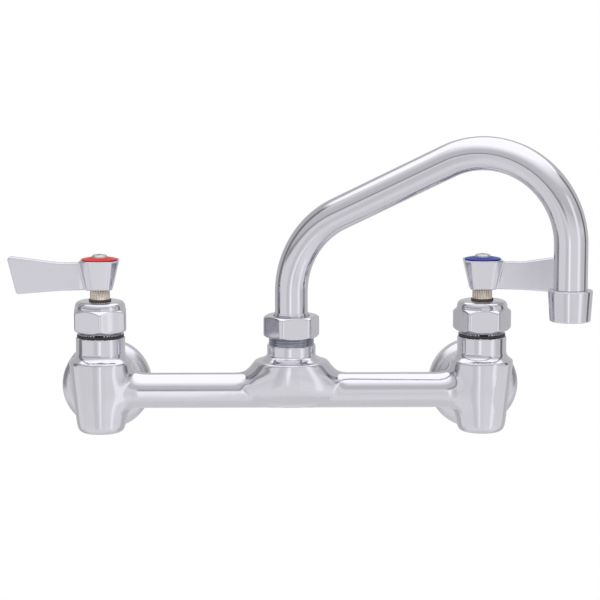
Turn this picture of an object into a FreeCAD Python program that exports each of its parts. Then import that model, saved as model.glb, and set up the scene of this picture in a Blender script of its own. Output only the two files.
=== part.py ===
import FreeCAD, Part
import Sketcher
import math
import os

# Wall-mounted commercial mixing faucet: a cast bridge body with two compression
# valves, lever handles, adjustable eccentric wall flanges and a swing spout.
# Frame: +Z up, +Y into the wall, wall face at y = 0, origin midway between the
# two wall inlets. The viewer stands on the -Y side; hot is at -X, cold at +X.
# Levels are heights above the bridge tube's axis, and depths are measured from
# the valve axes towards the wall.

SIZES = (
    # layout
    ("inlet_centres", 203.2, "between the two valve axes, 8 in"),
    ("valve_to_wall", "=spigot_depth + washer_thick + shank_collar_thick + nut_lip"
     " + 2 * seat_clearance + union_gap + flange_crown", "valve axis to the wall face"),
    ("inlet_offset", 5.8, "eccentricity of the wall flanges"),
    ("running_clearance", 0.05, "radial gap of a turning or sliding fit"),
    ("seat_clearance", 0.2, "axial gap between moving faces at rest"),
    ("lip_clearance", 0.3, "radial gap in the lip of a nut"),
    ("socket_clearance", 0.15, "radial gap of the handle on its serrated stem"),
    # cast body
    ("bridge_radius", 9.4, "outside of the bridge tube"),
    ("bridge_bore", 6.5, "waterway in the bridge tube"),
    ("barrel_foot", -22.5, "underside of a valve barrel"),
    ("barrel_foot_radius", 13.6, "barrel at its foot"),
    ("barrel_waist_radius", 16.6, "barrel at the bridge axis"),
    ("shoulder_radius", 18.1, "barrel at its shoulder"),
    ("shoulder_level", 16.6, "edge of the shoulder"),
    ("neck_radius", 13.1, "cast neck under a bonnet"),
    ("neck_root", 18.5, "foot of the neck"),
    ("neck_top", 29.3, "rim of the neck"),
    ("boss_root_radius", 14.6, "rear boss where it leaves the barrel"),
    ("boss_radius", 18.3, "rear inlet boss"),
    ("boss_flare", 11.0, "depth at which the boss has its full radius"),
    ("boss_top", 14.7, "flat top of the boss, just under the shoulder"),
    ("boss_depth", 22.6, "rear face of the boss"),
    ("spigot_radius", 14.6, "male thread behind the boss"),
    ("spigot_depth", 30.6, "end of the male thread"),
    ("inlet_bore", 8.0, "waterway in the boss"),
    ("inlet_bore_end", 14.0, "blind end of the inlet waterway"),
    ("passage_bore", 3.4, "passage down to the lower chamber"),
    ("passage_level", -13.0, "level of that passage"),
    ("passage_depth", 18.4, "where it drops, behind the valve"),
    ("upper_chamber", 9.5, "radius of the chamber over the seat"),
    ("deck_top", -6.0, "top of the wall that holds the seat"),
    ("deck_bottom", -9.5, "underside of that wall"),
    ("seat_thread", 6.5, "threaded hole for the seat"),
    ("lower_chamber", 8.0, "radius of the chamber under the seat"),
    ("lower_floor", -17.6, "floor of the lower chamber"),
    ("bonnet_thread", 10.6, "threaded hole for the bonnet"),
    ("bonnet_thread_end", 12.0, "lowest turn of that thread"),
    ("hub_radius", 19.4, "centre hub at its shoulder"),
    ("hub_shoulder", 16.4, "edge of the hub's shoulder"),
    ("hub_slope_end", 18.8, "foot of the collar on the hub"),
    ("hub_keel_inset", 0.4, "the bell's lowest oval above the tube's underside"),
    ("hub_keel_level", "=hub_keel_inset - bridge_radius", "that oval, inside the tube"),
    ("hub_keel_length", 13.0, "half its length"),
    ("hub_keel_width", 2.4, "half its width"),
    ("hub_bilge_level", "=-0.7 * bridge_radius", "oval where the bell leaves the tube"),
    ("hub_bilge_length", 19.0, "half its length"),
    ("hub_bilge_width", "=bridge_radius", "half its width"),
    ("hub_root_level", "=-0.28 * bridge_radius", "oval where the bell turns upright"),
    ("hub_root_length", 25.5, "half its length"),
    ("hub_root_width", 14.6, "half its width"),
    ("hub_belly_level", 2.6, "oval at the bell's longest place"),
    ("hub_belly_length", 27.0, "half its length"),
    ("hub_belly_width", 17.2, "half its width"),
    ("hub_flank_level", 9.2, "oval half way up the bell"),
    ("hub_flank_length", 24.4, "half its length"),
    ("hub_flank_width", 18.8, "half its width"),
    ("collar_radius", 12.95, "collar on the hub"),
    ("collar_top", 25.0, "rim of the collar"),
    ("spout_thread", 12.1, "male thread for the spout nut"),
    ("spout_thread_top", 33.6, "rim of that thread"),
    ("spout_socket", 8.35, "bore that the spout turns in"),
    ("spout_socket_floor", 9.4, "floor of that bore"),
    # wall flanges and their unions
    ("union_gap", 3.5, "room between a coupling nut and its flange"),
    ("washer_thick", 1.5, "fibre washer of the union"),
    ("shank_collar_radius", 13.6, "collar that the nut pulls on"),
    ("shank_collar_thick", 3.0, "thickness of that collar"),
    ("shank_radius", 11.0, "neck of the flange in the nut"),
    ("nut_lip", 2.6, "lip of the coupling nut"),
    ("nut_flats", 33.0, "across flats of the coupling nut"),
    ("nut_corner", 18.2, "turned corners of the coupling nut"),
    ("nut_chamfer", 1.6, "height of its corner chamfers"),
    ("nut_start", 23.0, "front face of the coupling nut"),
    ("flange_radius", 24.6, "round wall flange"),
    ("flange_rim", 9.0, "thickness of the flange at its rim"),
    ("flange_crown", 15.6, "thickness of the flange at its neck"),
    ("flange_neck_radius", 13.4, "foot of the crown"),
    ("port_radius", 10.3, "half-inch female pipe thread"),
    ("port_length", 14.0, "depth of the pipe thread"),
    ("shank_bore", 5.2, "waterway in the shank"),
    # valves
    ("seat_bore", 4.4, "waterway in the seat"),
    ("seat_lip_radius", 5.6, "raised lip of the seat"),
    ("seat_flange_radius", 7.8, "flange of the seat"),
    ("seat_lip_level", -3.4, "face of the seat's lip"),
    ("seat_lip_slope", 0.6, "how far the lip widens towards its foot"),
    ("disc_radius", 6.6, "rubber seat washer"),
    ("disc_thick", 3.0, "thickness of the seat washer"),
    ("holder_radius", 7.5, "washer holder"),
    ("holder_skirt", 1.8, "depth of the holder's cup"),
    ("holder_top", 2.6, "top of the holder's disc"),
    ("knob_neck", 2.4, "neck of the swivel knob"),
    ("knob_radius", 3.2, "swivel knob"),
    ("knob_level", 7.4, "underside of the knob"),
    ("knob_height", 2.2, "height of the knob"),
    ("disc_screw_radius", 1.9, "screw through the washer"),
    ("disc_screw_head", 3.4, "head of that screw"),
    ("disc_screw_head_thick", 1.6, "thickness of that head"),
    ("disc_screw_hole_end", 2.2, "blind end of the holder's screw hole"),
    ("stem_foot", 3.0, "lower end of the stem"),
    ("stem_foot_radius", 5.8, "stem under its thread"),
    ("stem_thread_radius", 6.9, "lifting thread of the stem"),
    ("stem_thread_start", 9.5, "lowest turn of the lifting thread"),
    ("stem_thread_end", 21.0, "highest turn of the lifting thread"),
    ("stem_thread_runout", 1.0, "taper over that thread"),
    ("stem_radius", 5.3, "smooth shaft of the stem"),
    ("spline_start", 50.4, "foot of the stem's serration"),
    ("spline_end", 66.0, "top of the stem"),
    ("spline_depth", 0.5, "depth of the serration"),
    ("seal_radius", 0.85, "section of a stem O-ring"),
    ("seal_lower_level", 31.5, "lower O-ring"),
    ("seal_upper_level", 36.5, "upper O-ring"),
    ("lift", 3.0, "rise of the stem from shut to open"),
    ("gasket_radius", 12.5, "bonnet gasket"),
    ("gasket_thick", 1.4, "bonnet gasket"),
    ("bonnet_flange_top", 31.3, "thin flange over the gasket"),
    ("bonnet_groove_radius", 11.2, "groove under the hexagon"),
    ("bonnet_hex_start", 32.4, "underside of the hexagon"),
    ("bonnet_hex_end", 44.3, "top of the hexagon"),
    ("bonnet_flats", 27.5, "across flats of the bonnet"),
    ("bonnet_corner", 15.7, "turned corners of the bonnet"),
    ("bonnet_chamfer", 1.6, "height of the corner chamfers"),
    ("bonnet_crown_radius", 13.5, "crown over the hexagon"),
    ("bonnet_top", 48.6, "top of the bonnet"),
    ("bonnet_foot", 8.2, "lower end of the bonnet"),
    ("bonnet_guide_radius", 9.2, "bonnet under its thread"),
    ("bonnet_room_end", 25.4, "top of the stem thread's room"),
    ("wiper_wall", 0.6, "ring round the stem, from the shaft to its rim"),
    ("wiper_radius", "=stem_radius + wiper_wall", "rim of that ring"),
    ("wiper_depth", 1.5, "seat of the ring in the bonnet"),
    ("wiper_top", 49.6, "top of the ring"),
    # handles
    ("hub_base", 54.6, "underside of the handle's hub"),
    ("hub_top", 70.4, "top of the handle's hub"),
    ("hub_base_width", 13.4, "hub across, at its base"),
    ("hub_base_facet", 9.2, "flat front of the hub, at its base"),
    ("hub_top_width", 20.8, "hub across, at its top"),
    ("hub_top_facet", 12.8, "flat front of the hub, at its top"),
    ("lever_reach", 49.2, "valve axis to the lever's upper corner"),
    ("lever_foot_reach", 44.2, "valve axis to the lever's lower corner"),
    ("lever_thick", 4.4, "thickness of the lever's blade"),
    ("lever_tip_top", 72.6, "upper edge at the tip"),
    ("lever_tip_foot", 52.2, "lower edge at the tip"),
    ("lever_waist", 21.0, "narrowest place of the blade"),
    ("lever_waist_top", 68.9, "upper edge at the waist"),
    ("lever_root_top", 69.4, "upper edge inside the hub"),
    ("lever_waist_foot", 54.0, "lower edge at the waist"),
    ("index_radius", 9.6, "coloured ring on the hub"),
    ("index_rim", 0.5, "thickness of the ring at its rim"),
    ("index_crown", 1.5, "thickness of the ring inside"),
    ("handle_screw_head", 4.6, "head of the handle screw"),
    ("handle_screw_rise", 3.0, "top of the head over the hub"),
    ("handle_screw_shank", 2.0, "shank of the handle screw"),
    ("handle_screw_reach", 58.0, "tip of the handle screw"),
    ("handle_screw_spare", 1.0, "depth of its hole under the tip"),
    # spout
    ("spout_reach", 152.4, "hub axis to outlet axis, 6 in"),
    ("spout_swing", 22.0, "degrees that the spout stands in front of the bridge"),
    ("spout_radius", 8.75, "outside of the spout tube"),
    ("spout_wall", 1.2, "wall of the spout tube"),
    ("riser_top", 52.8, "end of the straight riser"),
    ("first_bend", 48.0, "centre-line radius of the first bend"),
    ("second_bend", 45.5, "centre-line radius of the second bend"),
    ("spout_slope", 26.3, "degrees that the long run rises"),
    ("drop_end", 53.0, "lower end of the spout tube"),
    ("ferrule_radius", 9.3, "swivel ferrule over the nut"),
    ("ferrule_top", 42.0, "top of the swivel ferrule"),
    ("ferrule_socket", 37.2, "floor of the ferrule's socket"),
    ("ferrule_bore", 5.0, "waterway in the ferrule"),
    ("swivel_foot", 10.4, "lower end of the ferrule"),
    ("swivel_collar", 10.7, "collar that keeps the spout in"),
    ("swivel_collar_thick", 1.8, "thickness of that collar"),
    ("ring_section", 0.9, "section of a spout O-ring"),
    ("ring_lower_level", 15.0, "lower spout O-ring"),
    ("ring_upper_level", 22.0, "upper spout O-ring"),
    ("bearing_thick", 1.0, "plastic bearing washer"),
    ("split_ring_thick", 1.2, "split ring under the nut's lip"),
    ("split_gap", 2.0, "gap in that ring"),
    ("spout_nut_flats", 27.0, "across flats of the spout nut"),
    ("spout_nut_corner", 15.1, "turned corners of the spout nut"),
    ("spout_nut_start", 28.9, "underside of the spout nut"),
    ("spout_nut_top", 40.6, "top of the spout nut"),
    ("spout_nut_chamfer", 1.1, "height of its corner chamfers"),
    ("spout_nut_turn", 9.4, "degrees that the nut's corners stand off the axes"),
    # outlet
    ("outlet_thread", 10.2, "male thread at the outlet"),
    ("outlet_top", 62.4, "top of the outlet ferrule"),
    ("shell_top_radius", 11.5, "aerator shell at its top"),
    ("shell_foot_radius", 10.4, "aerator shell at its foot"),
    ("shell_top", 61.9, "rim of the aerator shell"),
    ("shell_foot", 46.0, "foot of the aerator shell"),
    ("shell_lip", 8.1, "opening in the foot of the shell"),
    ("shell_lip_thick", 1.0, "thickness of the shell's lip"),
    ("insert_radius", 9.0, "aerator insert"),
    ("insert_height", 4.0, "aerator insert"),
    ("insert_wall", 1.1, "ring round the insert"),
    ("grille_recess", 0.4, "how far the plate and the screen lie inside that ring"),
    ("grille_thick", 1.0, "drilled plate of the insert"),
    ("grille_hole", 0.95, "radius of a hole in the plate"),
    ("screen_thick", 0.6, "stainless screen in the insert"),
    ("slot_start", 2.2, "inner end of a slot in the screen"),
    ("slot_end", 6.6, "outer end of a slot in the screen"),
    ("slot_width", 0.7, "width of a slot in the screen"),
    ("outlet_washer_thick", 1.0, "washer over the insert"),
    ("outlet_washer_bore", 7.0, "opening of that washer"),
)

FAR_OUT = 60.0  # reaches past every turned corner, for the cuts that shape them
CUT_MARGIN = 1.0  # how far a cut runs past the face that it opens
TURN = 360.0


class Length:
    """A size: its value in mm and the sheet expression that gives it."""

    def __init__(self, value, text=None):
        self.value = float(value)
        self.text = text if text else repr(float(value))

    def __add__(self, other):
        other = as_length(other)
        return Length(self.value + other.value, f"({self.text} + {other.text})")

    def __sub__(self, other):
        other = as_length(other)
        return Length(self.value - other.value, f"({self.text} - {other.text})")

    def __mul__(self, other):
        other = as_length(other)
        return Length(self.value * other.value, f"({self.text} * {other.text})")

    def __truediv__(self, other):
        other = as_length(other)
        return Length(self.value / other.value, f"({self.text} / {other.text})")

    def __neg__(self):
        return Length(-self.value, f"(0 - {self.text})")


def as_length(number):
    return number if isinstance(number, Length) else Length(number)


def write_sheet():
    """Puts every size in its own cell and gives back the sizes by name.

    A value that starts with = is a formula of the other sizes.
    """
    sheet = doc.addObject("Spreadsheet::Sheet", "Sizes")
    for row, (alias, value, note) in enumerate(SIZES, start=1):
        sheet.set(f"A{row}", alias)
        sheet.set(f"C{row}", note)
        sheet.setAlias(f"B{row}", alias)
    for row, (alias, value, note) in enumerate(SIZES, start=1):
        sheet.set(f"B{row}", str(value))
    doc.recompute()
    return {alias: Length(sheet.get(alias), f"Sizes.{alias}") for alias, value, note in SIZES}


# rounds, in mm
BRIDGE_FILLET = 6.5
HUB_FILLET = 7.0
TUBE_SHARE = 0.75  # a fillet on the bridge tube is never wider than this part of its radius
BARREL_FOOT_ROUND = 3.6
SHOULDER_ROUND = 1.4
SHOULDER_LAND = 0.4  # flat ring between a shoulder's round and its slope
NECK_ROOT_ROUND = 2.6
COLLAR_BEVEL = 0.8
CROWN_ROUND = 3.4
FLANGE_ROUND = 1.6
BLADE_BEND_ROUND = 30.0
BLADE_TIP_ROUND = 1.8
BLADE_EDGE_ROUND = 0.7
SCREW_DOME_ROUND = 2.4
SMALL_BEVEL = 0.5

SPLINE_TEETH = 24
TOOTH_SHARE = 0.8  # part of the pitch that a vee groove takes at its mouth
GRILLE_RINGS = ((0.0, 1), (2.7, 6), (5.5, 12))  # radius of each ring of holes, and how many
SCREEN_SLOTS = 16

doc = FreeCAD.newDocument("WallFaucet")
S = write_sheet()
parts = []

HALF_CENTRES = S["inlet_centres"] / 2
SIDES = (("hot", -1), ("cold", 1))


# ---------------------------------------------------------------- helpers

def new_part(name, place=None, axis=(0, 0, 1), angle=0.0):
    """A named sub-part whose place in the faucet comes from the sheet."""
    body = doc.addObject("PartDesign::Body", name)
    body.Label = name
    rotation = FreeCAD.Rotation(FreeCAD.Vector(*axis), as_length(angle).value)
    body.Placement = FreeCAD.Placement(FreeCAD.Vector(0, 0, 0), rotation)
    for letter, length in zip("xyz", place or (0, 0, 0)):
        body.setExpression(f"Placement.Base.{letter}", as_length(length).text)
    if isinstance(angle, Length):
        body.setExpression("Placement.Rotation.Angle", angle.text)
    parts.append(body)
    return body


def at_hub():
    """The hub axis, at the level of the bridge."""
    return (0, -S["valve_to_wall"], S["inlet_offset"])


def at_valve(side):
    """The axis of one valve, at the level of the bridge."""
    return (HALF_CENTRES * side, -S["valve_to_wall"], S["inlet_offset"])


def facing_wall(name, side):
    """A part whose own +Z points into the wall, along a valve's inlet."""
    return new_part(name, at_valve(side), (1, 0, 0), -90.0)


def plane_of(body, role):
    return next(item for item in body.Origin.OriginFeatures if item.Role == role)


def new_sketch(body, name, role, shift=(0, 0, 0)):
    """A sketch on one of the part's own planes, moved by shift along its axes."""
    sketch = body.newObject("Sketcher::SketchObject", name)
    sketch.AttachmentSupport = [(plane_of(body, role), "")]
    sketch.MapMode = "FlatFace"
    start = FreeCAD.Vector(*(as_length(step).value for step in shift))
    sketch.AttachmentOffset = FreeCAD.Placement(start, FreeCAD.Rotation())
    for letter, step in zip("xyz", shift):
        if isinstance(step, Length):
            sketch.setExpression(f"AttachmentOffset.Base.{letter}", step.text)
    return sketch


def tie(sketch, kind, arguments, length):
    """Adds one constraint and lets the sheet drive it."""
    index = sketch.addConstraint(Sketcher.Constraint(kind, *arguments, length.value))
    if "Sizes" in length.text:
        sketch.setExpression(f"Constraints[{index}]", length.text)


def tie_point(sketch, line, end, point):
    """Ties one end of a line to its two distances from the sketch's origin."""
    for kind, length in zip(("DistanceX", "DistanceY"), point):
        tie(sketch, kind, (-1, 1, line, end), length)


def closed_outline(sketch, points):
    """Straight lines round a closed outline, every corner tied to the sheet."""
    corners = [(as_length(first), as_length(second)) for first, second in points]
    ends = [FreeCAD.Vector(first.value, second.value, 0) for first, second in corners]
    first_line = sketch.GeometryCount
    count = len(corners)
    for index in range(count):
        following = ends[(index + 1) % count]
        sketch.addGeometry(Part.LineSegment(ends[index], following), False)
    for index in range(count):
        line = first_line + index
        after = first_line + (index + 1) % count
        sketch.addConstraint(Sketcher.Constraint("Coincident", line, 2, after, 1))
    for index, corner in enumerate(corners):
        tie_point(sketch, first_line + index, 1, corner)
    return sketch


def circle_outline(sketch, radius, centre=(0, 0)):
    """A full circle tied to its radius and its centre."""
    middle = [as_length(step) for step in centre]
    place = FreeCAD.Vector(middle[0].value, middle[1].value, 0)
    circle = Part.Circle(place, FreeCAD.Vector(0, 0, 1), radius.value)
    index = sketch.addGeometry(circle, False)
    tie_point(sketch, index, 3, middle)
    tie(sketch, "Radius", (index,), radius)
    return sketch


def turn(body, sketch, axis="V_Axis", cut=False):
    """Turns a half outline into a solid of revolution, or cuts one away."""
    kind = "PartDesign::Groove" if cut else "PartDesign::Revolution"
    feature = body.newObject(kind, f"{sketch.Name}_turned")
    feature.Profile = sketch
    feature.ReferenceAxis = (sketch, [axis])
    feature.Angle = TURN
    return feature


def turned(body, name, points, cut=False, shift=(0, 0, 0), role="XZ_Plane", axis="V_Axis"):
    sketch = new_sketch(body, f"{body.Name}_{name}", role, shift)
    return turn(body, closed_outline(sketch, points), axis, cut)


def pad(body, sketch, length, symmetric=False):
    feature = body.newObject("PartDesign::Pad", f"{sketch.Name}_pad")
    feature.Profile = sketch
    feature.Length = length.value
    feature.setExpression("Length", length.text)
    if symmetric:
        feature.SideType = "Symmetric"
    return feature


def pocket(body, sketch, length, reversed_way=False):
    feature = body.newObject("PartDesign::Pocket", f"{sketch.Name}_pocket")
    feature.Profile = sketch
    feature.Length = length.value
    feature.setExpression("Length", length.text)
    feature.Reversed = reversed_way
    return feature


def edges_where(body, test):
    """The names of the part's edges that pass a test, as a fillet wants them."""
    doc.recompute()
    shape = body.Tip.Shape
    return [f"Edge{i}" for i, edge in enumerate(shape.Edges, start=1) if test(edge)]


def is_ring(edge, radius, level, slack=0.05):
    """Is this edge a full circle of that radius at that level?"""
    if not isinstance(edge.Curve, Part.Circle):
        return False
    close = abs(edge.Curve.Radius - radius.value) < slack
    return close and abs(edge.Curve.Center.z - level.value) < slack


def soften(body, test, size, kind="Fillet"):
    """Rounds or chamfers the edges that pass a test."""
    names = edges_where(body, test)
    if not names:
        raise RuntimeError(f"{body.Name}: no edge to soften")
    base = body.Tip
    feature = body.newObject(f"PartDesign::{kind}", f"{base.Name}_{kind}")
    feature.Base = (base, names)
    size = as_length(size)
    if kind == "Fillet":
        feature.Radius = size.value
    else:
        feature.Size = size.value
    doc.recompute()
    if feature.Shape.isNull() or not feature.isValid():
        raise RuntimeError(f"{feature.Name}: this rounding fails")
    return feature


def soften_rings(body, rings, size, kind="Fillet"):
    return soften(body, lambda edge: any(is_ring(edge, r, z) for r, z in rings), size, kind)


def hexagon(body, name, flats, level, height, phase=0.0):
    """A six-sided prism between two levels."""
    sketch = new_sketch(body, f"{body.Name}_{name}", "XY_Plane", (0, 0, level))
    radius = flats / math.sqrt(3)
    corners = []
    for index in range(6):
        angle = math.radians(60 * index + phase)
        corners.append((radius * math.cos(angle), radius * math.sin(angle)))
    return pad(body, closed_outline(sketch, corners), height)


def turn_corners(body, name, corner, flats, chamfer, foot, top):
    """Turns a hexagon's corners round and bevels both ends, as on a lathe."""
    inner = flats / 2
    turned(body, name, (
        (inner, foot), (corner, foot + chamfer), (corner, top - chamfer), (inner, top),
        (inner, top + 1), (FAR_OUT, top + 1), (FAR_OUT, foot - 1), (inner, foot - 1),
    ), cut=True)


def torus_seal(body, name, section, radius, level):
    """One O-ring: a round section turned about the axis."""
    sketch = new_sketch(body, f"{body.Name}_{name}", "XZ_Plane")
    return turn(body, circle_outline(sketch, section, (radius, level)))


# ---------------------------------------------------------------- cast body

def barrel_outline():
    """Half of a valve barrel's outside, without its neck."""
    return (
        (0, S["barrel_foot"]),
        (S["barrel_foot_radius"], S["barrel_foot"]),
        (S["barrel_waist_radius"], 0),
        (S["shoulder_radius"], S["shoulder_level"]),
        (0, S["shoulder_level"]),
    )


def boss_outline():
    """Half of the rear inlet boss with its male thread."""
    return (
        (0, 0),
        (0, S["boss_root_radius"]),
        (S["boss_flare"], S["boss_radius"]),
        (S["boss_depth"], S["boss_radius"]),
        (S["boss_depth"], S["spigot_radius"]),
        (S["spigot_depth"], S["spigot_radius"]),
        (S["spigot_depth"], 0),
    )


def neck_outline():
    """Half of the sloping shoulder and the neck on it."""
    return (
        (0, S["shoulder_level"]),
        (S["shoulder_radius"] - SHOULDER_ROUND - SHOULDER_LAND, S["shoulder_level"]),
        (S["neck_radius"], S["neck_root"]),
        (S["neck_radius"], S["neck_top"]),
        (0, S["neck_top"]),
    )


def cut_boss_top(body):
    """Levels the bosses behind the barrels, so that the round shoulders stand free."""
    for name, side in SIDES:
        sketch = new_sketch(body, f"{name}_boss_top", "XY_Plane", (0, 0, S["boss_top"]))
        circle_outline(sketch, S["shoulder_radius"], (HALF_CENTRES * side, 0))
        circle_outline(sketch, S["spigot_depth"] + S["boss_radius"], (HALF_CENTRES * side, 0))
        pocket(body, sketch, S["boss_radius"], reversed_way=True)


def valve_bore_outline():
    """Half of the hollow that takes the seat, the stem and the bonnet."""
    return (
        (0, S["lower_floor"]),
        (S["lower_chamber"], S["lower_floor"]),
        (S["lower_chamber"], S["deck_bottom"]),
        (S["seat_thread"], S["deck_bottom"]),
        (S["seat_thread"], S["deck_top"]),
        (S["upper_chamber"], S["deck_top"]),
        (S["upper_chamber"], S["bonnet_thread_end"]),
        (S["bonnet_thread"], S["bonnet_thread_end"]),
        (S["bonnet_thread"], S["neck_top"]),
        (0, S["neck_top"]),
    )


def hub_outline():
    """Half of the shoulder, collar and thread on top of the centre hub."""
    return (
        (0, S["hub_shoulder"]),
        (S["hub_radius"] - SHOULDER_ROUND - SHOULDER_LAND, S["hub_shoulder"]),
        (S["collar_radius"], S["hub_slope_end"]),
        (S["collar_radius"], S["collar_top"]),
        (S["spout_thread"], S["collar_top"]),
        (S["spout_thread"], S["spout_thread_top"]),
        (0, S["spout_thread_top"]),
    )


def near_bridge_end(edge):
    """An edge where the bridge tube meets a barrel."""
    box = edge.BoundBox
    bridge = S["bridge_radius"].value + 1
    on_tube = max(abs(box.YMin), abs(box.YMax), abs(box.ZMin), abs(box.ZMax)) < bridge
    return on_tube and box.XLength < bridge and box.YLength > 1 and abs(box.Center.x) > 1


def near_hub_root(edge):
    """The curve where the bridge tube meets the centre hub's bell."""
    box = edge.BoundBox
    bridge = S["bridge_radius"].value
    within = box.XMin > -HALF_CENTRES.value / 2 and box.XMax < HALF_CENTRES.value / 2
    return within and box.ZMax < bridge + 1 and box.ZLength > bridge / 2


def on_hub_shoulder(edge):
    """The round edge between the bell and the slope on top of the hub."""
    box = edge.BoundBox
    level = abs(box.Center.z - S["hub_shoulder"].value) < 0.05 and box.ZLength < 0.1
    return level and abs(box.XMax) < S["hub_radius"].value + 1 and box.DiagonalLength > 5


def oval_outline(sketch, length, width):
    """An ellipse about the origin, tied at the ends of both its axes."""
    centre = FreeCAD.Vector(0, 0, 0)
    far = FreeCAD.Vector(length.value, 0, 0)
    side = FreeCAD.Vector(0, width.value, 0)
    index = sketch.addGeometry(Part.Ellipse(far, side, centre), False)
    sketch.exposeInternalGeometry(index)
    zero = Length(0)
    tie_point(sketch, index, 3, (zero, zero))
    tie_point(sketch, index + 1, 1, (length, zero))
    tie(sketch, "DistanceY", (-1, 1, index + 2, 1), width)
    return sketch


def add_bell(body):
    """The hub's bell: a smooth loft from an oval inside the tube up to the round shoulder."""
    ovals = []
    for name in ("keel", "bilge", "root", "belly", "flank"):
        oval = new_sketch(body, f"bell_{name}", "XY_Plane", (0, 0, S[f"hub_{name}_level"]))
        ovals.append(oval_outline(oval, S[f"hub_{name}_length"], S[f"hub_{name}_width"]))
    rim = new_sketch(body, "bell_rim", "XY_Plane", (0, 0, S["hub_shoulder"]))
    circle_outline(rim, S["hub_radius"])
    bell = body.newObject("PartDesign::AdditiveLoft", "bell")
    bell.Profile = ovals[0]
    bell.Sections = ovals[1:] + [rim]
    return bell


def make_body_casting():
    """The one-piece cast body: bridge tube, two barrels, inlet bosses and hub."""
    body = new_part("body_casting", at_hub())
    half = HALF_CENTRES
    radius = S["bridge_radius"]
    bridge = ((-half, 0), (half, 0), (half, radius), (-half, radius))
    turned(body, "bridge", bridge, axis="H_Axis")
    for name, side in SIDES:
        turned(body, f"{name}_barrel", barrel_outline(), shift=(half * side, 0, 0))
    widest = radius.value * TUBE_SHARE
    soften(body, near_bridge_end, min(BRIDGE_FILLET, widest))
    soften_rings(body, [(S["barrel_foot_radius"], S["barrel_foot"])], BARREL_FOOT_ROUND)
    soften_rings(body, [(S["shoulder_radius"], S["shoulder_level"])], SHOULDER_ROUND)
    for name, side in SIDES:
        turned(body, f"{name}_boss", boss_outline(), shift=(0, 0, half * side),
               role="YZ_Plane", axis="H_Axis")
    cut_boss_top(body)
    add_bell(body)
    soften(body, near_hub_root, min(HUB_FILLET, widest))
    soften(body, on_hub_shoulder, SHOULDER_ROUND)
    turned(body, "hub", hub_outline())
    for name, side in SIDES:
        turned(body, f"{name}_neck", neck_outline(), shift=(half * side, 0, 0))
    soften_rings(body, [(S["neck_radius"], S["neck_root"])], NECK_ROOT_ROUND)
    soften_rings(body, [(S["collar_radius"], S["collar_top"])], COLLAR_BEVEL, "Chamfer")
    bore_casting(body, half)


def bore_casting(body, half):
    """Cuts the waterways: bridge, chambers, inlets and the spout's socket."""
    bore = S["bridge_bore"]
    turned(body, "bridge_bore", ((-half, 0), (half, 0), (half, bore), (-half, bore)),
           cut=True, axis="H_Axis")
    for name, side in SIDES:
        turned(body, f"{name}_chambers", valve_bore_outline(), cut=True, shift=(half * side, 0, 0))
        inlet = (
            (S["inlet_bore_end"], 0), (S["spigot_depth"], 0),
            (S["spigot_depth"], S["inlet_bore"]), (S["inlet_bore_end"], S["inlet_bore"]),
        )
        turned(body, f"{name}_inlet", inlet, cut=True, shift=(0, 0, half * side),
               role="YZ_Plane", axis="H_Axis")
        level = S["passage_level"]
        passage = new_sketch(body, f"{name}_passage", "XZ_Plane")
        circle_outline(passage, S["passage_bore"], (half * side, level))
        pocket(body, passage, S["passage_depth"])
        drop = new_sketch(body, f"{name}_drop", "XY_Plane", (0, 0, level))
        circle_outline(drop, S["passage_bore"], (half * side, S["passage_depth"]))
        pocket(body, drop, -level, reversed_way=True)
    socket = (
        (0, 0), (bore, 0), (bore, S["spout_socket_floor"]),
        (S["spout_socket"], S["spout_socket_floor"]),
        (S["spout_socket"], S["spout_thread_top"]), (0, S["spout_thread_top"]),
    )
    turned(body, "spout_socket", socket, cut=True)


# ---------------------------------------------------------------- wall unions

WALL = S["valve_to_wall"]
UNION_WASHER_BACK = S["spigot_depth"] + S["washer_thick"]
SHANK_COLLAR_FRONT = UNION_WASHER_BACK + S["seat_clearance"]
SHANK_COLLAR_BACK = SHANK_COLLAR_FRONT + S["shank_collar_thick"]
NUT_LIP_FRONT = SHANK_COLLAR_BACK + S["seat_clearance"]
NUT_END = NUT_LIP_FRONT + S["nut_lip"]


def make_coupling_nut(name, side):
    """The hexagon nut that pulls a wall flange against the cast body."""
    body = facing_wall(f"{name}_coupling_nut", side)
    start = S["nut_start"]
    hexagon(body, "hex", S["nut_flats"], start, NUT_END - start)
    turn_corners(body, "corners", S["nut_corner"], S["nut_flats"], S["nut_chamfer"], start,
                 NUT_END)
    thread = S["spigot_radius"] + S["running_clearance"]
    hole = S["shank_radius"] + S["lip_clearance"]
    turned(body, "bore", (
        (0, start), (thread, start), (thread, NUT_LIP_FRONT), (hole, NUT_LIP_FRONT),
        (hole, NUT_END), (0, NUT_END),
    ), cut=True)


def make_union_washer(name, side):
    """The fibre washer between the cast spigot and the flange's collar."""
    body = facing_wall(f"{name}_union_washer", side)
    front = S["spigot_depth"]
    inner = S["inlet_bore"]
    outer = S["shank_collar_radius"]
    turned(body, "ring", ring_outline(inner, outer, front, UNION_WASHER_BACK))


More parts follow.
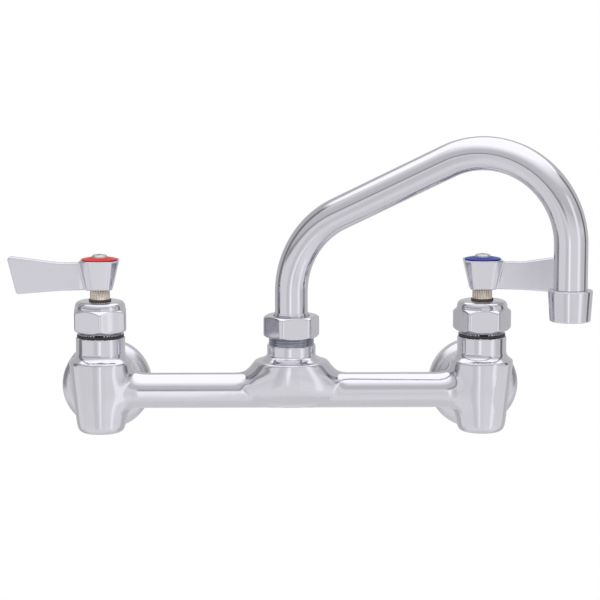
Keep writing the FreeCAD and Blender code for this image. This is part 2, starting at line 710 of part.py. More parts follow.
def make_wall_flange(name, side):
    """The eccentric flange: its pipe port sits below the shank it turns on."""
    body = facing_wall(f"{name}_wall_flange", side)
    offset = (0, 0, -S["inlet_offset"])
    rim = WALL - S["flange_rim"]
    crown = WALL - S["flange_crown"]
    disc = (
        (0, WALL), (S["flange_radius"], WALL), (S["flange_radius"], rim),
        (S["flange_neck_radius"], crown), (0, crown),
    )
    turned(body, "disc", disc, shift=offset)
    soften_rings(body, [(S["flange_radius"], rim)], FLANGE_ROUND)
    turned(body, "shank", (
        (0, SHANK_COLLAR_FRONT), (S["shank_collar_radius"], SHANK_COLLAR_FRONT),
        (S["shank_collar_radius"], SHANK_COLLAR_BACK), (S["shank_radius"], SHANK_COLLAR_BACK),
        (S["shank_radius"], rim), (0, rim),
    ))
    bore = S["shank_bore"]
    turned(body, "waterway", ((0, SHANK_COLLAR_FRONT), (bore, SHANK_COLLAR_FRONT),
                              (bore, rim), (0, rim)), cut=True)
    floor = WALL - S["port_length"]
    port = S["port_radius"]
    turned(body, "port", ((0, floor), (port, floor), (port, WALL), (0, WALL)),
           cut=True, shift=offset)


# ---------------------------------------------------------------- valves

DISC_FACE = S["seat_lip_level"] + S["seat_clearance"]
DISC_TOP = DISC_FACE + S["disc_thick"]
SHAFT_BORE = S["stem_radius"] + S["running_clearance"]
GASKET_TOP = S["neck_top"] + S["gasket_thick"]
SEAL_CENTRE = S["stem_radius"] - S["seal_radius"]
SEAL_LEVELS = (("lower", S["seal_lower_level"]), ("upper", S["seal_upper_level"]))


def ring_outline(inner, outer, foot, top):
    """Half of a flat ring."""
    return ((inner, foot), (outer, foot), (outer, top), (inner, top))


def make_valve_seat(name, side):
    """The brass seat, screwed into the wall between the two chambers."""
    body = new_part(f"{name}_valve_seat", at_valve(side))
    thread = S["seat_thread"] - S["running_clearance"]
    flange_top = S["deck_top"] + (S["seat_lip_level"] - S["deck_top"]) / 2
    turned(body, "ring", (
        (S["seat_bore"], S["deck_bottom"]), (thread, S["deck_bottom"]), (thread, S["deck_top"]),
        (S["seat_flange_radius"], S["deck_top"]), (S["seat_flange_radius"], flange_top),
        (S["seat_lip_radius"] + S["seat_lip_slope"], flange_top),
        (S["seat_lip_radius"], S["seat_lip_level"]),
        (S["seat_bore"], S["seat_lip_level"]),
    ))


def make_seat_washer(name, side):
    """The rubber washer that shuts against the seat."""
    body = new_part(f"{name}_seat_washer", at_valve(side))
    hole = S["disc_screw_radius"] + S["running_clearance"]
    turned(body, "disc", ring_outline(hole, S["disc_radius"], DISC_FACE, DISC_TOP))


def make_washer_holder(name, side):
    """The cup that holds the washer and swivels on the stem's foot by its knob."""
    body = new_part(f"{name}_washer_holder", at_valve(side))
    cup = S["disc_radius"] + S["running_clearance"]
    skirt = DISC_TOP - S["holder_skirt"]
    hole = S["disc_screw_radius"] + S["running_clearance"]
    hole_end = S["disc_screw_hole_end"]
    knob_top = S["knob_level"] + S["knob_height"]
    turned(body, "cup", (
        (hole, DISC_TOP), (cup, DISC_TOP), (cup, skirt), (S["holder_radius"], skirt),
        (S["holder_radius"], S["holder_top"]), (S["knob_neck"], S["holder_top"]),
        (S["knob_neck"], S["knob_level"]), (S["knob_radius"], S["knob_level"]),
        (S["knob_radius"], knob_top), (0, knob_top), (0, hole_end), (hole, hole_end),
    ))


def make_washer_screw(name, side):
    """The brass screw that clamps the washer in its cup."""
    body = new_part(f"{name}_washer_screw", at_valve(side))
    head_foot = DISC_FACE - S["disc_screw_head_thick"]
    tip = S["disc_screw_hole_end"] - S["seat_clearance"]
    turned(body, "screw", (
        (0, head_foot), (S["disc_screw_head"], head_foot), (S["disc_screw_head"], DISC_FACE),
        (S["disc_screw_radius"], DISC_FACE), (S["disc_screw_radius"], tip), (0, tip),
    ))


def make_stem(name, side):
    """The brass stem: swivel socket, lifting thread, seal grooves and serration."""
    body = new_part(f"{name}_stem", at_valve(side))
    play = S["running_clearance"]
    neck_hole = S["knob_neck"] + play
    socket = S["knob_radius"] + play
    socket_foot = S["knob_level"] - play
    socket_top = S["knob_level"] + S["knob_height"] + play
    turned(body, "shaft", (
        (neck_hole, S["stem_foot"]), (S["stem_foot_radius"], S["stem_foot"]),
        (S["stem_foot_radius"], S["stem_thread_start"]),
        (S["stem_thread_radius"], S["stem_thread_start"]),
        (S["stem_thread_radius"], S["stem_thread_end"]),
        (S["stem_radius"], S["stem_thread_end"] + S["stem_thread_runout"]),
        (S["stem_radius"], S["spline_end"]),
        (0, S["spline_end"]), (0, socket_top), (socket, socket_top), (socket, socket_foot),
        (neck_hole, socket_foot),
    ))
    floor = SEAL_CENTRE - S["seal_radius"] - play
    outside = S["stem_radius"] + CUT_MARGIN
    for place, level in SEAL_LEVELS:
        foot = level - S["seal_radius"] - play
        top = level + S["seal_radius"] + play
        turned(body, f"{place}_groove", ring_outline(floor, outside, foot, top), cut=True)
    hole = S["handle_screw_shank"] + play
    hole_foot = S["handle_screw_reach"] - S["handle_screw_spare"]
    turned(body, "screw_hole", ring_outline(0, hole, hole_foot, S["spline_end"]), cut=True)
    cut_serration(body)


def cut_serration(body):
    """Fine vee grooves all round the top of the stem, which grip the handle."""
    sketch = new_sketch(body, f"{body.Name}_tooth", "XY_Plane", (0, 0, S["spline_end"]))
    half_width = S["stem_radius"] * math.sin(math.pi / SPLINE_TEETH) * TOOTH_SHARE
    root = S["stem_radius"] - S["spline_depth"]
    outside = S["stem_radius"] + S["socket_clearance"]
    closed_outline(sketch, ((root, 0), (outside, half_width), (outside, -half_width)))
    groove = pocket(body, sketch, S["spline_end"] - S["spline_start"])
    pattern = body.newObject("PartDesign::PolarPattern", f"{body.Name}_serration")
    pattern.Originals = [groove]
    pattern.Axis = (plane_of(body, "Z_Axis"), [""])
    pattern.Angle = TURN
    pattern.Occurrences = SPLINE_TEETH
    body.Tip = pattern


def make_stem_seals(name, side):
    """Two O-rings in the stem's grooves."""
    body = new_part(f"{name}_stem_seals", at_valve(side))
    for place, level in SEAL_LEVELS:
        torus_seal(body, place, S["seal_radius"], SEAL_CENTRE, level)


def make_bonnet(name, side, phase):
    """The bonnet: threaded sleeve, thin flange, hexagon and rounded crown."""
    body = new_part(f"{name}_bonnet", at_valve(side))
    thread = S["bonnet_thread"] - S["running_clearance"]
    thread_foot = S["bonnet_thread_end"] + S["seat_clearance"]
    hex_foot = S["bonnet_hex_start"]
    hex_top = S["bonnet_hex_end"]
    turned(body, "outside", (
        (0, S["bonnet_foot"]), (S["bonnet_guide_radius"], S["bonnet_foot"]),
        (S["bonnet_guide_radius"], thread_foot), (thread, thread_foot), (thread, GASKET_TOP),
        (S["gasket_radius"], GASKET_TOP), (S["gasket_radius"], S["bonnet_flange_top"]),
        (S["bonnet_groove_radius"], S["bonnet_flange_top"]), (S["bonnet_groove_radius"], hex_foot),
        (S["bonnet_crown_radius"], hex_foot), (S["bonnet_crown_radius"], S["bonnet_top"]),
        (0, S["bonnet_top"]),
    ))
    soften_rings(body, [(S["bonnet_crown_radius"], S["bonnet_top"])], CROWN_ROUND)
    hexagon(body, "hex", S["bonnet_flats"], hex_foot, hex_top - hex_foot, phase)
    turn_corners(body, "corners", S["bonnet_corner"], S["bonnet_flats"],
                 S["bonnet_chamfer"], hex_foot, hex_top)
    room = S["stem_thread_radius"] + S["running_clearance"]
    wiper = S["wiper_radius"] + S["running_clearance"]
    wiper_foot = S["bonnet_top"] - S["wiper_depth"]
    turned(body, "bore", (
        (0, S["bonnet_foot"]), (room, S["bonnet_foot"]), (room, S["bonnet_room_end"]),
        (SHAFT_BORE, S["bonnet_room_end"]), (SHAFT_BORE, wiper_foot), (wiper, wiper_foot),
        (wiper, S["bonnet_top"]), (0, S["bonnet_top"]),
    ), cut=True)


def make_bonnet_gasket(name, side):
    """The black gasket between the cast neck and the bonnet."""
    body = new_part(f"{name}_bonnet_gasket", at_valve(side))
    turned(body, "ring", ring_outline(S["bonnet_thread"], S["gasket_radius"],
                                      S["neck_top"], GASKET_TOP))


def make_stem_wiper(name, side):
    """The black ring that closes the bonnet round the stem."""
    body = new_part(f"{name}_stem_wiper", at_valve(side))
    foot = S["bonnet_top"] - S["wiper_depth"]
    turned(body, "ring", ring_outline(SHAFT_BORE, S["wiper_radius"], foot, S["wiper_top"]))


# ---------------------------------------------------------------- handles

def octagon(body, name, level, width, facet):
    """A square with wide corner chamfers, at one level of the handle's hub."""
    sketch = new_sketch(body, f"{body.Name}_{name}", "XY_Plane", (0, 0, level))
    far = width / 2
    near = facet / 2
    return closed_outline(sketch, (
        (far, -near), (far, near), (near, far), (-near, far),
        (-far, near), (-far, -near), (-near, -far), (near, -far),
    ))


def blade_corner(points, slack=0.2):
    """Makes a test for the short upright edge at any of these outline points."""
    def test(edge):
        centre = edge.CenterOfMass
        across = edge.BoundBox.YLength > 1 and edge.BoundBox.XLength < slack
        return across and any(abs(centre.x - x.value) < slack and abs(centre.z - z.value) < slack
                              for x, z in points)
    return test


def blade_rim(edge):
    """An edge round one of the blade's two flat faces."""
    box = edge.BoundBox
    on_face = abs(abs(box.Center.y) - S["lever_thick"].value / 2) < 0.01 and box.YLength < 0.01
    return on_face and box.XMax > S["lever_waist"].value / 2


def make_lever(name, side):
    """The handle: a tapered hub, wider at the top, with a flat flaring blade."""
    body = new_part(f"{name}_lever", at_valve(side), angle=180.0 if side < 0 else 0.0)
    base = octagon(body, "hub_base", S["hub_base"], S["hub_base_width"], S["hub_base_facet"])
    top = octagon(body, "hub_top", S["hub_top"], S["hub_top_width"], S["hub_top_facet"])
    root = S["hub_base_width"] / 4
    waist_top = (S["lever_waist"], S["lever_waist_top"])
    waist_foot = (S["lever_waist"], S["lever_waist_foot"])
    tip_top = (S["lever_reach"], S["lever_tip_top"])
    tip_foot = (S["lever_foot_reach"], S["lever_tip_foot"])
    sketch = new_sketch(body, f"{body.Name}_blade", "XZ_Plane")
    closed_outline(sketch, (
        (root, S["hub_base"]), waist_foot, tip_foot, tip_top, waist_top,
        (root, S["lever_root_top"]),
    ))
    pad(body, sketch, S["lever_thick"], symmetric=True)
    soften(body, blade_corner([waist_foot, waist_top]), BLADE_BEND_ROUND)
    soften(body, blade_corner([tip_foot, tip_top]), BLADE_TIP_ROUND)
    soften(body, blade_rim, BLADE_EDGE_ROUND)
    loft = body.newObject("PartDesign::AdditiveLoft", f"{body.Name}_hub")
    loft.Profile = base
    loft.Sections = [top]
    socket = S["stem_radius"] + S["socket_clearance"]
    hole = S["handle_screw_shank"] + S["socket_clearance"]
    mouth = S["hub_base"] - CUT_MARGIN
    turned(body, "socket", (
        (0, mouth), (socket, mouth), (socket, S["spline_end"]),
        (hole, S["spline_end"]), (hole, S["hub_top"]), (0, S["hub_top"]),
    ), cut=True)


def make_index_ring(name, side):
    """The coloured ring on the handle: red for hot, blue for cold."""
    body = new_part(f"{name}_index_ring", at_valve(side))
    inner = S["handle_screw_head"] + S["running_clearance"]
    base = S["hub_top"]
    turned(body, "ring", (
        (inner, base), (S["index_radius"], base), (S["index_radius"], base + S["index_rim"]),
        (inner, base + S["index_crown"]),
    ))


def make_handle_screw(name, side):
    """The domed screw that holds the handle on the stem."""
    body = new_part(f"{name}_handle_screw", at_valve(side))
    head = S["handle_screw_head"]
    top = S["hub_top"] + S["handle_screw_rise"]
    shank = S["handle_screw_shank"]
    tip = S["handle_screw_reach"]
    turned(body, "screw", (
        (0, tip), (shank, tip), (shank, S["hub_top"]), (head, S["hub_top"]), (head, top), (0, top),
    ))
    soften_rings(body, [(head, top)], SCREW_DOME_ROUND)


# ---------------------------------------------------------------- spout

SWING = -S["spout_swing"]
SWIVEL = S["spout_socket"] - S["running_clearance"]
BEARING_TOP = S["spout_thread_top"] + S["bearing_thick"]
COLLAR_FOOT = BEARING_TOP + S["seat_clearance"]
COLLAR_HEAD = COLLAR_FOOT + S["swivel_collar_thick"]
SPLIT_RING_FOOT = COLLAR_HEAD + S["seat_clearance"]
SPLIT_RING_TOP = SPLIT_RING_FOOT + S["split_ring_thick"]
NUT_CAVITY = S["spout_thread"] + S["running_clearance"]
NUT_HOLE = S["ferrule_radius"] + S["lip_clearance"]
RING_CENTRE = SWIVEL - S["ring_section"]
RING_LEVELS = (("lower", S["ring_lower_level"]), ("upper", S["ring_upper_level"]))
TUBE_SOCKET = S["spout_radius"] + S["running_clearance"]


def on_spout(name):
    """A part that swings with the spout, drawn with the outlet along +X."""
    return new_part(name, at_hub(), (0, 0, 1), SWING)


def make_spout_nut():
    """The hexagon nut that holds the spout in the hub."""
    body = new_part("spout_nut", at_hub())
    foot = S["spout_nut_start"]
    top = S["spout_nut_top"]
    flats = S["spout_nut_flats"]
    hexagon(body, "hex", flats, foot, top - foot, S["spout_nut_turn"].value)
    turn_corners(body, "corners", S["spout_nut_corner"], flats, S["spout_nut_chamfer"], foot, top)
    turned(body, "bore", (
        (0, foot), (NUT_CAVITY, foot), (NUT_CAVITY, SPLIT_RING_TOP), (NUT_HOLE, SPLIT_RING_TOP),
        (NUT_HOLE, top), (0, top),
    ), cut=True)


def make_spout_bearing():
    """The plastic washer that the spout's collar turns on."""
    body = new_part("spout_bearing", at_hub())
    turned(body, "ring", ring_outline(S["spout_socket"] + S["lip_clearance"], S["spout_thread"],
                                      S["spout_thread_top"], BEARING_TOP))


def make_split_ring():
    """The split ring between the spout's collar and the lip of the nut."""
    body = new_part("spout_split_ring", at_hub())
    turned(body, "ring", ring_outline(NUT_HOLE, S["spout_thread"], SPLIT_RING_FOOT, SPLIT_RING_TOP))
    sketch = new_sketch(body, "split_ring_gap", "XY_Plane", (0, 0, SPLIT_RING_TOP))
    side = S["split_gap"] / 2
    closed_outline(sketch, ((-FAR_OUT, -side), (0, -side), (0, side), (-FAR_OUT, side)))
    pocket(body, sketch, S["split_ring_thick"] * 2)


def make_spout_ferrule():
    """The swivel end of the spout, with its collar and two seal grooves."""
    body = on_spout("spout_ferrule")
    socket_floor = S["ferrule_socket"]
    bore = S["ferrule_bore"]
    foot = S["swivel_foot"]
    top = S["ferrule_top"]
    turned(body, "outside", (
        (bore, foot), (SWIVEL, foot), (SWIVEL, COLLAR_FOOT), (S["swivel_collar"], COLLAR_FOOT),
        (S["swivel_collar"], COLLAR_HEAD), (S["ferrule_radius"], COLLAR_HEAD),
        (S["ferrule_radius"], top), (TUBE_SOCKET, top), (TUBE_SOCKET, socket_floor),
        (bore, socket_floor),
    ))
    floor = RING_CENTRE - S["ring_section"] - S["running_clearance"]
    for place, level in RING_LEVELS:
        half_gap = S["ring_section"] + S["running_clearance"]
        turned(body, f"{place}_groove", ring_outline(floor, S["spout_socket"], level - half_gap,
                                                     level + half_gap), cut=True)


def make_spout_seals():
    """Two O-rings on the swivel end."""
    body = on_spout("spout_seals")
    for place, level in RING_LEVELS:
        torus_seal(body, place, S["ring_section"], RING_CENTRE, level)


def tube_path(body):
    """The spout's centre line: riser, bend, rising run, bend and drop, all tangent."""
    slope = math.radians(S["spout_slope"].value)
    rise = math.sin(slope)
    run = math.cos(slope)
    first = S["first_bend"]
    second = S["second_bend"]
    bend_end_x = first - first * rise
    bend_end_z = S["riser_top"] + first * run
    drop_top_x = S["spout_reach"]
    run_end_x = drop_top_x - second + (-second) * rise
    run_end_z = bend_end_z + (run_end_x - bend_end_x) * math.tan(slope)
    drop_top_z = run_end_z - second * run
    sketch = new_sketch(body, "spout_path", "XZ_Plane")
    zero = Length(0)
    marks = (
        (zero, S["ferrule_socket"]), (zero, S["riser_top"]), (bend_end_x, bend_end_z),
        (run_end_x, run_end_z), (drop_top_x, drop_top_z), (drop_top_x, S["drop_end"]),
    )
    spots = [FreeCAD.Vector(x.value, z.value, 0) for x, z in marks]
    for index in (0, 2, 4):
        line = sketch.addGeometry(Part.LineSegment(spots[index], spots[index + 1]), False)
        tie_point(sketch, line, 1, marks[index])
        tie_point(sketch, line, 2, marks[index + 1])
    up = FreeCAD.Vector(0, 0, 1)
    first_centre = FreeCAD.Vector(first.value, S["riser_top"].value, 0)
    second_centre = FreeCAD.Vector((drop_top_x - second).value, drop_top_z.value, 0)
    lean = math.pi / 2 + slope
    bends = (
        (first_centre, first, lean, math.pi, 1, 0),
        (second_centre, second, 0.0, lean, 2, 1),
    )
    for centre, radius, start, end, above, below in bends:
        circle = Part.Circle(centre, up, radius.value)
        arc = sketch.addGeometry(Part.ArcOfCircle(circle, start, end), False)
        sketch.addConstraint(Sketcher.Constraint("Coincident", arc, 1, above, 1))
        sketch.addConstraint(Sketcher.Constraint("Coincident", arc, 2, below, 2))
        tie(sketch, "Radius", (arc,), radius)
    return sketch


def make_spout_tube():
    """The bent tube: a round section swept along the centre line, then bored."""
    body = on_spout("spout_tube")
    path = tube_path(body)
    for name, kind, radius in (
        ("outside", "PartDesign::AdditivePipe", S["spout_radius"]),
        ("inside", "PartDesign::SubtractivePipe", S["spout_radius"] - S["spout_wall"]),
    ):
        sketch = new_sketch(body, f"tube_{name}", "XY_Plane", (0, 0, S["ferrule_socket"]))
        circle_outline(sketch, radius)
        pipe = body.newObject(kind, f"pipe_{name}")
        pipe.Profile = sketch
        pipe.Spine = (path, [f"Edge{i}" for i in (1, 4, 2, 5, 3)])
        doc.recompute()


# ---------------------------------------------------------------- outlet

INSERT_FOOT = S["shell_foot"] + S["shell_lip_thick"]
INSERT_TOP = INSERT_FOOT + S["insert_height"]
OUTLET_FOOT = INSERT_TOP + S["outlet_washer_thick"]
AT_OUTLET = (S["spout_reach"], 0, 0)
SHELL_THREAD = S["outlet_thread"] + S["running_clearance"]
SHELL_SEAT = S["insert_radius"] + S["running_clearance"]
PLATE_FOOT = INSERT_FOOT + S["grille_recess"]
PLATE_TOP = PLATE_FOOT + S["grille_thick"]
SCREEN_TOP = INSERT_TOP - S["grille_recess"]
SCREEN_FOOT = SCREEN_TOP - S["screen_thick"]
HOLLOW = S["insert_radius"] - S["insert_wall"]


def make_outlet_ferrule():
    """The threaded ring on the end of the spout tube."""
    body = on_spout("outlet_ferrule")
    mouth = S["spout_radius"] - S["spout_wall"]
    turned(body, "ring", (
        (mouth, OUTLET_FOOT), (S["outlet_thread"], OUTLET_FOOT),
        (S["outlet_thread"], S["outlet_top"]), (TUBE_SOCKET, S["outlet_top"]),
        (TUBE_SOCKET, S["drop_end"]), (mouth, S["drop_end"]),
    ), shift=AT_OUTLET)


def make_aerator_shell():
    """The tapered shell that screws on the outlet and holds the aerator."""
    body = on_spout("aerator_shell")
    turned(body, "shell", (
        (S["shell_lip"], S["shell_foot"]), (S["shell_foot_radius"], S["shell_foot"]),
        (S["shell_top_radius"], S["shell_top"]), (SHELL_THREAD, S["shell_top"]),
        (SHELL_THREAD, INSERT_TOP), (SHELL_SEAT, INSERT_TOP), (SHELL_SEAT, INSERT_FOOT),
        (S["shell_lip"], INSERT_FOOT),
    ), shift=AT_OUTLET)
    rims = [(S["shell_foot_radius"], S["shell_foot"]), (S["shell_top_radius"], S["shell_top"])]
    soften_rings(body, rims, SMALL_BEVEL)


def make_outlet_washer():
    """The rubber washer between the outlet ferrule and the aerator insert."""
    body = on_spout("outlet_washer")
    turned(body, "ring", ring_outline(S["outlet_washer_bore"], S["outlet_thread"],
                                      INSERT_TOP, OUTLET_FOOT), shift=AT_OUTLET)


def make_aerator_insert():
    """The plastic insert: a ring with a drilled plate in it."""
    body = on_spout("aerator_insert")
    outside = S["insert_radius"]
    turned(body, "cup", (
        (0, PLATE_FOOT), (HOLLOW, PLATE_FOOT), (HOLLOW, INSERT_FOOT), (outside, INSERT_FOOT),
        (outside, INSERT_TOP), (HOLLOW, INSERT_TOP), (HOLLOW, PLATE_TOP), (0, PLATE_TOP),
    ), shift=AT_OUTLET)
    sketch = new_sketch(body, "grille_holes", "XY_Plane", (0, 0, PLATE_TOP))
    for radius, count in GRILLE_RINGS:
        for index in range(count):
            angle = 2 * math.pi * index / count
            across = radius * math.sin(angle)
            along = S["spout_reach"] + radius * math.cos(angle)
            circle_outline(sketch, S["grille_hole"], (along, across))
    pocket(body, sketch, S["grille_thick"] * 2)


def make_aerator_screen():
    """The thin slotted screen over the insert's plate."""
    body = on_spout("aerator_screen")
    edge = HOLLOW - S["running_clearance"]
    turned(body, "disc", ring_outline(0, edge, SCREEN_FOOT, SCREEN_TOP), shift=AT_OUTLET)
    sketch = new_sketch(body, "screen_slots", "XY_Plane", (0, 0, SCREEN_TOP))
    start = S["slot_start"]
    end = S["slot_end"]
    half = S["slot_width"] / 2
    for index in range(SCREEN_SLOTS):
        angle = 2 * math.pi * index / SCREEN_SLOTS
        run, rise = math.cos(angle), math.sin(angle)
        corners = []
        for along, across in ((start, -half), (end, -half), (end, half), (start, half)):
            along_x = S["spout_reach"] + along * run - across * rise
            corners.append((along_x, along * rise + across * run))
        closed_outline(sketch, corners)
    pocket(body, sketch, S["screen_thick"] * 2)


# ---------------------------------------------------------------- assembly

HEX_PHASE = {"hot": 30.0, "cold": 0.0}  # a corner, or a flat, faces the viewer


def make_valve(name, side):
    """Every piece that one side of the faucet has."""
    make_coupling_nut(name, side)
    make_union_washer(name, side)
    make_wall_flange(name, side)
    make_valve_seat(name, side)
    make_seat_washer(name, side)
    make_washer_holder(name, side)
    make_washer_screw(name, side)
    make_stem(name, side)
    make_stem_seals(name, side)
    make_bonnet(name, side, HEX_PHASE[name])
    make_bonnet_gasket(name, side)
    make_stem_wiper(name, side)
    make_lever(name, side)
    make_index_ring(name, side)
    make_handle_screw(name, side)


def make_spout():
    """Every piece of the swing spout and its outlet."""
    make_spout_nut()
    make_spout_bearing()
    make_split_ring()
    make_spout_ferrule()
    make_spout_seals()
    make_spout_tube()
    make_outlet_ferrule()
    make_aerator_shell()
    make_outlet_washer()
    make_aerator_insert()
    make_aerator_screen()


def check_document():
    """Stops if any feature failed or any part's shape is empty or broken."""
    doc.recompute()
    faults = [item.Name for item in doc.Objects if {"Invalid", "Error"} & set(item.State)]
    for part in parts:
        if part.Shape.isNull() or not part.Shape.isValid():
            faults.append(part.Label)
    if faults:
        raise RuntimeError(f"features or parts that failed: {faults}")


def write_parts():
    """Writes each sub-part to its own file."""
    os.makedirs("parts", exist_ok=True)
    for part in parts:
        part.Shape.exportStep(f"parts/{part.Label}.step")
    print(f"{len(parts)} parts written")


make_body_casting()
for side_name, side_sign in SIDES:
    make_valve(side_name, side_sign)
make_spout()
check_document()
write_parts()
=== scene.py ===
# %% [markdown]
# # A commercial wall faucet
#
# The faucet is an assembly: a cast body, turned and hexagon brass pieces, two
# cast levers, rubber seals and a bent tube. The engineering model arrives as a
# fixed frame, and this script gives each visible piece its finished surface.
# Three ways of shaping are used, after the three ways the metal is really made:
# cast pieces are wrapped round a formula, turned pieces are spun from an
# outline, and the tube is drawn along its bend.

# %% Load the frame
import bmesh
import bpy
import math
import numpy as np
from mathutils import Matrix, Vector


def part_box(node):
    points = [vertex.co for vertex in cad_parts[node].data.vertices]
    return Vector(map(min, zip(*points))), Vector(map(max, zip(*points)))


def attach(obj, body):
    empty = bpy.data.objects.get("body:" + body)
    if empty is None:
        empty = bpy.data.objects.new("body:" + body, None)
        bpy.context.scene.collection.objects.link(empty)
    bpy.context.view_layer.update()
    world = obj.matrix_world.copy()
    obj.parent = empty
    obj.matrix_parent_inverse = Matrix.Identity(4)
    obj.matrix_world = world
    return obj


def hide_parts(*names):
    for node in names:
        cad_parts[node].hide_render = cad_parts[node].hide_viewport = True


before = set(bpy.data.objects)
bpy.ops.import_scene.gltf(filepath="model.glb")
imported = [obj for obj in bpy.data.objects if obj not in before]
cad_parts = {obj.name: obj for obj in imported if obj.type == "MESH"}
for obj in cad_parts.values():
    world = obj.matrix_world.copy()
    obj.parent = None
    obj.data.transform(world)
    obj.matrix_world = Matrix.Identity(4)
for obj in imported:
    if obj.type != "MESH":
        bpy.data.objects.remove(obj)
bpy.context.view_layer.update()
print("pieces in the frame:", len(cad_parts))

# %% [markdown]
# ## Where things are
#
# Everything is shaped in millimetres and turned into metres at the end. The
# bridge tube's axis is the level that heights are measured from. These places
# are read off the frame, so the pieces stay where the engineering model has
# them. Only the spout's angle at rest is written down.

# %% Axes of the faucet
MM = 0.001
SIDES = {"hot": -1, "cold": 1}


def middle_of(node):
    """The middle of a node, seen from above, in millimetres."""
    low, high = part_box(node)
    return (low.x + high.x) / 2 / MM, (low.y + high.y) / 2 / MM


VALVE = {side: middle_of(f"{side}_bonnet_gasket") for side in SIDES}
HUB = middle_of("spout_bearing")
GASKET_FOOT, GASKET_TOP = 29.3, 30.7
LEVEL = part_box("hot_bonnet_gasket")[0].z / MM - GASKET_FOOT
VALVE_PLACE = {side: (*VALVE[side], LEVEL) for side in SIDES}
HALF_CENTRES = VALVE["cold"][0]
CENTRE = (HUB[0], HUB[1], LEVEL)
WALL_DEPTH = -HUB[1]
SWING = math.radians(-22)
print("valves", VALVE, "hub", HUB, "bridge level", round(LEVEL, 2))

# %% [markdown]
# ## Camera
#
# A product photograph of metal is taken from far away with a long lens, so that
# the tube stays straight and the two valves look alike. The lens here stands
# 1.3 m off and looks 8.5 degrees down, from a little to the left.

# %% Camera
DISTANCE, FAR_END = 1.3, 50
LENS, FILM_WIDTH = 146.7, 36
LOOK_DOWN, TURNED = math.radians(8.5), math.radians(-0.9)
AIM_ASIDE, AIM_ABOVE = 4.6, 48.6
AIM = Vector((AIM_ASIDE * MM, HUB[1] * MM, (LEVEL + AIM_ABOVE) * MM))

lens = bpy.data.cameras.new("studio_camera")
lens.lens = LENS
lens.sensor_width = FILM_WIDTH
lens.clip_end = FAR_END
camera = bpy.data.objects.new("studio_camera", lens)
camera.location = AIM + DISTANCE * Vector((
    math.cos(LOOK_DOWN) * math.sin(TURNED),
    -math.cos(LOOK_DOWN) * math.cos(TURNED),
    math.sin(LOOK_DOWN)))
camera.rotation_euler = (math.pi / 2 - LOOK_DOWN, 0, TURNED)
bpy.context.scene.collection.objects.link(camera)
bpy.context.scene.camera = camera
bpy.context.scene.view_settings.view_transform = "Standard"
print("camera at", [round(v, 3) for v in camera.location])

# %% [markdown]
# ## Points and faces become a piece
#
# Every shaping tool below ends the same way: with a list of points in
# millimetres and a list of faces. This helper moves them to their place, scales
# them to metres and shades them smooth, because plated metal has no facets. A
# piece that screws on towards the wall is shaped upright like the rest, and
# laid back here.

# %% A mesh from points and faces
UPRIGHT = np.eye(3)
TO_WALL = np.array([[1.0, 0, 0], [0, 0, -1], [0, 1, 0]])


def make_piece(name, points, faces, place, turn=0.0, stand=UPRIGHT, normals=None):
    """A smooth mesh: points in mm, turned about its own axis, laid as it stands, then moved."""
    c, s = math.cos(turn), math.sin(turn)
    way = np.array([[c, s, 0], [-s, c, 0], [0, 0, 1]]) @ stand
    mesh = bpy.data.meshes.new(name)
    mesh.from_pydata(((np.asarray(points) @ way + np.array(place)) * MM).tolist(), [], faces)
    mesh.polygons.foreach_set("use_smooth", np.ones(len(mesh.polygons), bool))
    mesh.update()
    if normals is not None:
        mesh.normals_split_custom_set_from_vertices((normals @ way).tolist())
    piece = bpy.data.objects.new(name, mesh)
    bpy.context.scene.collection.objects.link(piece)
    return piece


def fit(piece, body, material, slot, *nodes):
    """Paints a piece, makes it ride on its body and lets it stand for CAD nodes."""
    piece.data.materials.append(material)
    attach(piece, body)
    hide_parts(*nodes)
    print(f"{piece.name}: {len(piece.data.vertices)} points, rides on {body}")


# %% [markdown]
# ## Materials: small helpers
#
# A material is a small network. A few helpers keep the network readable: they
# add a node with its settings or a noise, start a group or a material, and give
# its shader two tones or a bump. Patterns are laid by the object's own
# coordinates in metres, so a scale of 1000 means one about 1 mm long.

# %% Node helpers
def add(tree, kind, inputs=None, **settings):
    """A node with its settings; an input is given a number or another node's socket."""
    node = tree.nodes.new(kind)
    for name, value in settings.items():
        setattr(node, name, value)
    for key, value in (inputs or {}).items():
        if isinstance(value, bpy.types.NodeSocket):
            tree.links.new(value, node.inputs[key])
        else:
            node.inputs[key].default_value = value
    return node


def calculate(tree, operation, first, second=0.0):
    """One sum on two numbers or sockets."""
    return add(tree, "ShaderNodeMath", {0: first, 1: second}, operation=operation).outputs[0]


def own_spot(tree):
    """The place in the object's own coordinates."""
    return add(tree, "ShaderNodeTexCoord").outputs["Object"]


def noise(tree, spot, scale, **inputs):
    """The value of a noise at a spot."""
    return add(tree, "ShaderNodeTexNoise", {"Vector": spot, "Scale": scale, **inputs}).outputs[0]


def share_between(tree, value, low, high):
    """0 up to the low value, 1 from the high one, and even in between."""
    return add(tree, "ShaderNodeMapRange", {
        "Value": value, "From Min": low, "From Max": high}).outputs[0]


def new_group(name, inputs, outputs):
    """An empty node group with number inputs and the outputs that are named."""
    tree = bpy.data.node_groups.new(name, "ShaderNodeTree")
    for label, value in inputs.items():
        socket = tree.interface.new_socket(name=label, in_out="INPUT", socket_type="NodeSocketFloat")
        socket.default_value = value
    for label in outputs:
        tree.interface.new_socket(name=label, in_out="OUTPUT", socket_type="NodeSocketFloat")
    return tree, tree.nodes.new("NodeGroupInput"), tree.nodes.new("NodeGroupOutput")


def new_material(name, **sockets):
    """A material with a Principled shader whose plain sockets are set."""
    material = bpy.data.materials.new(name)
    material.use_nodes = True
    shader = material.node_tree.nodes["Principled BSDF"]
    for label, value in sockets.items():
        shader.inputs[label.replace("_", " ")].default_value = value
    return material, material.node_tree, shader


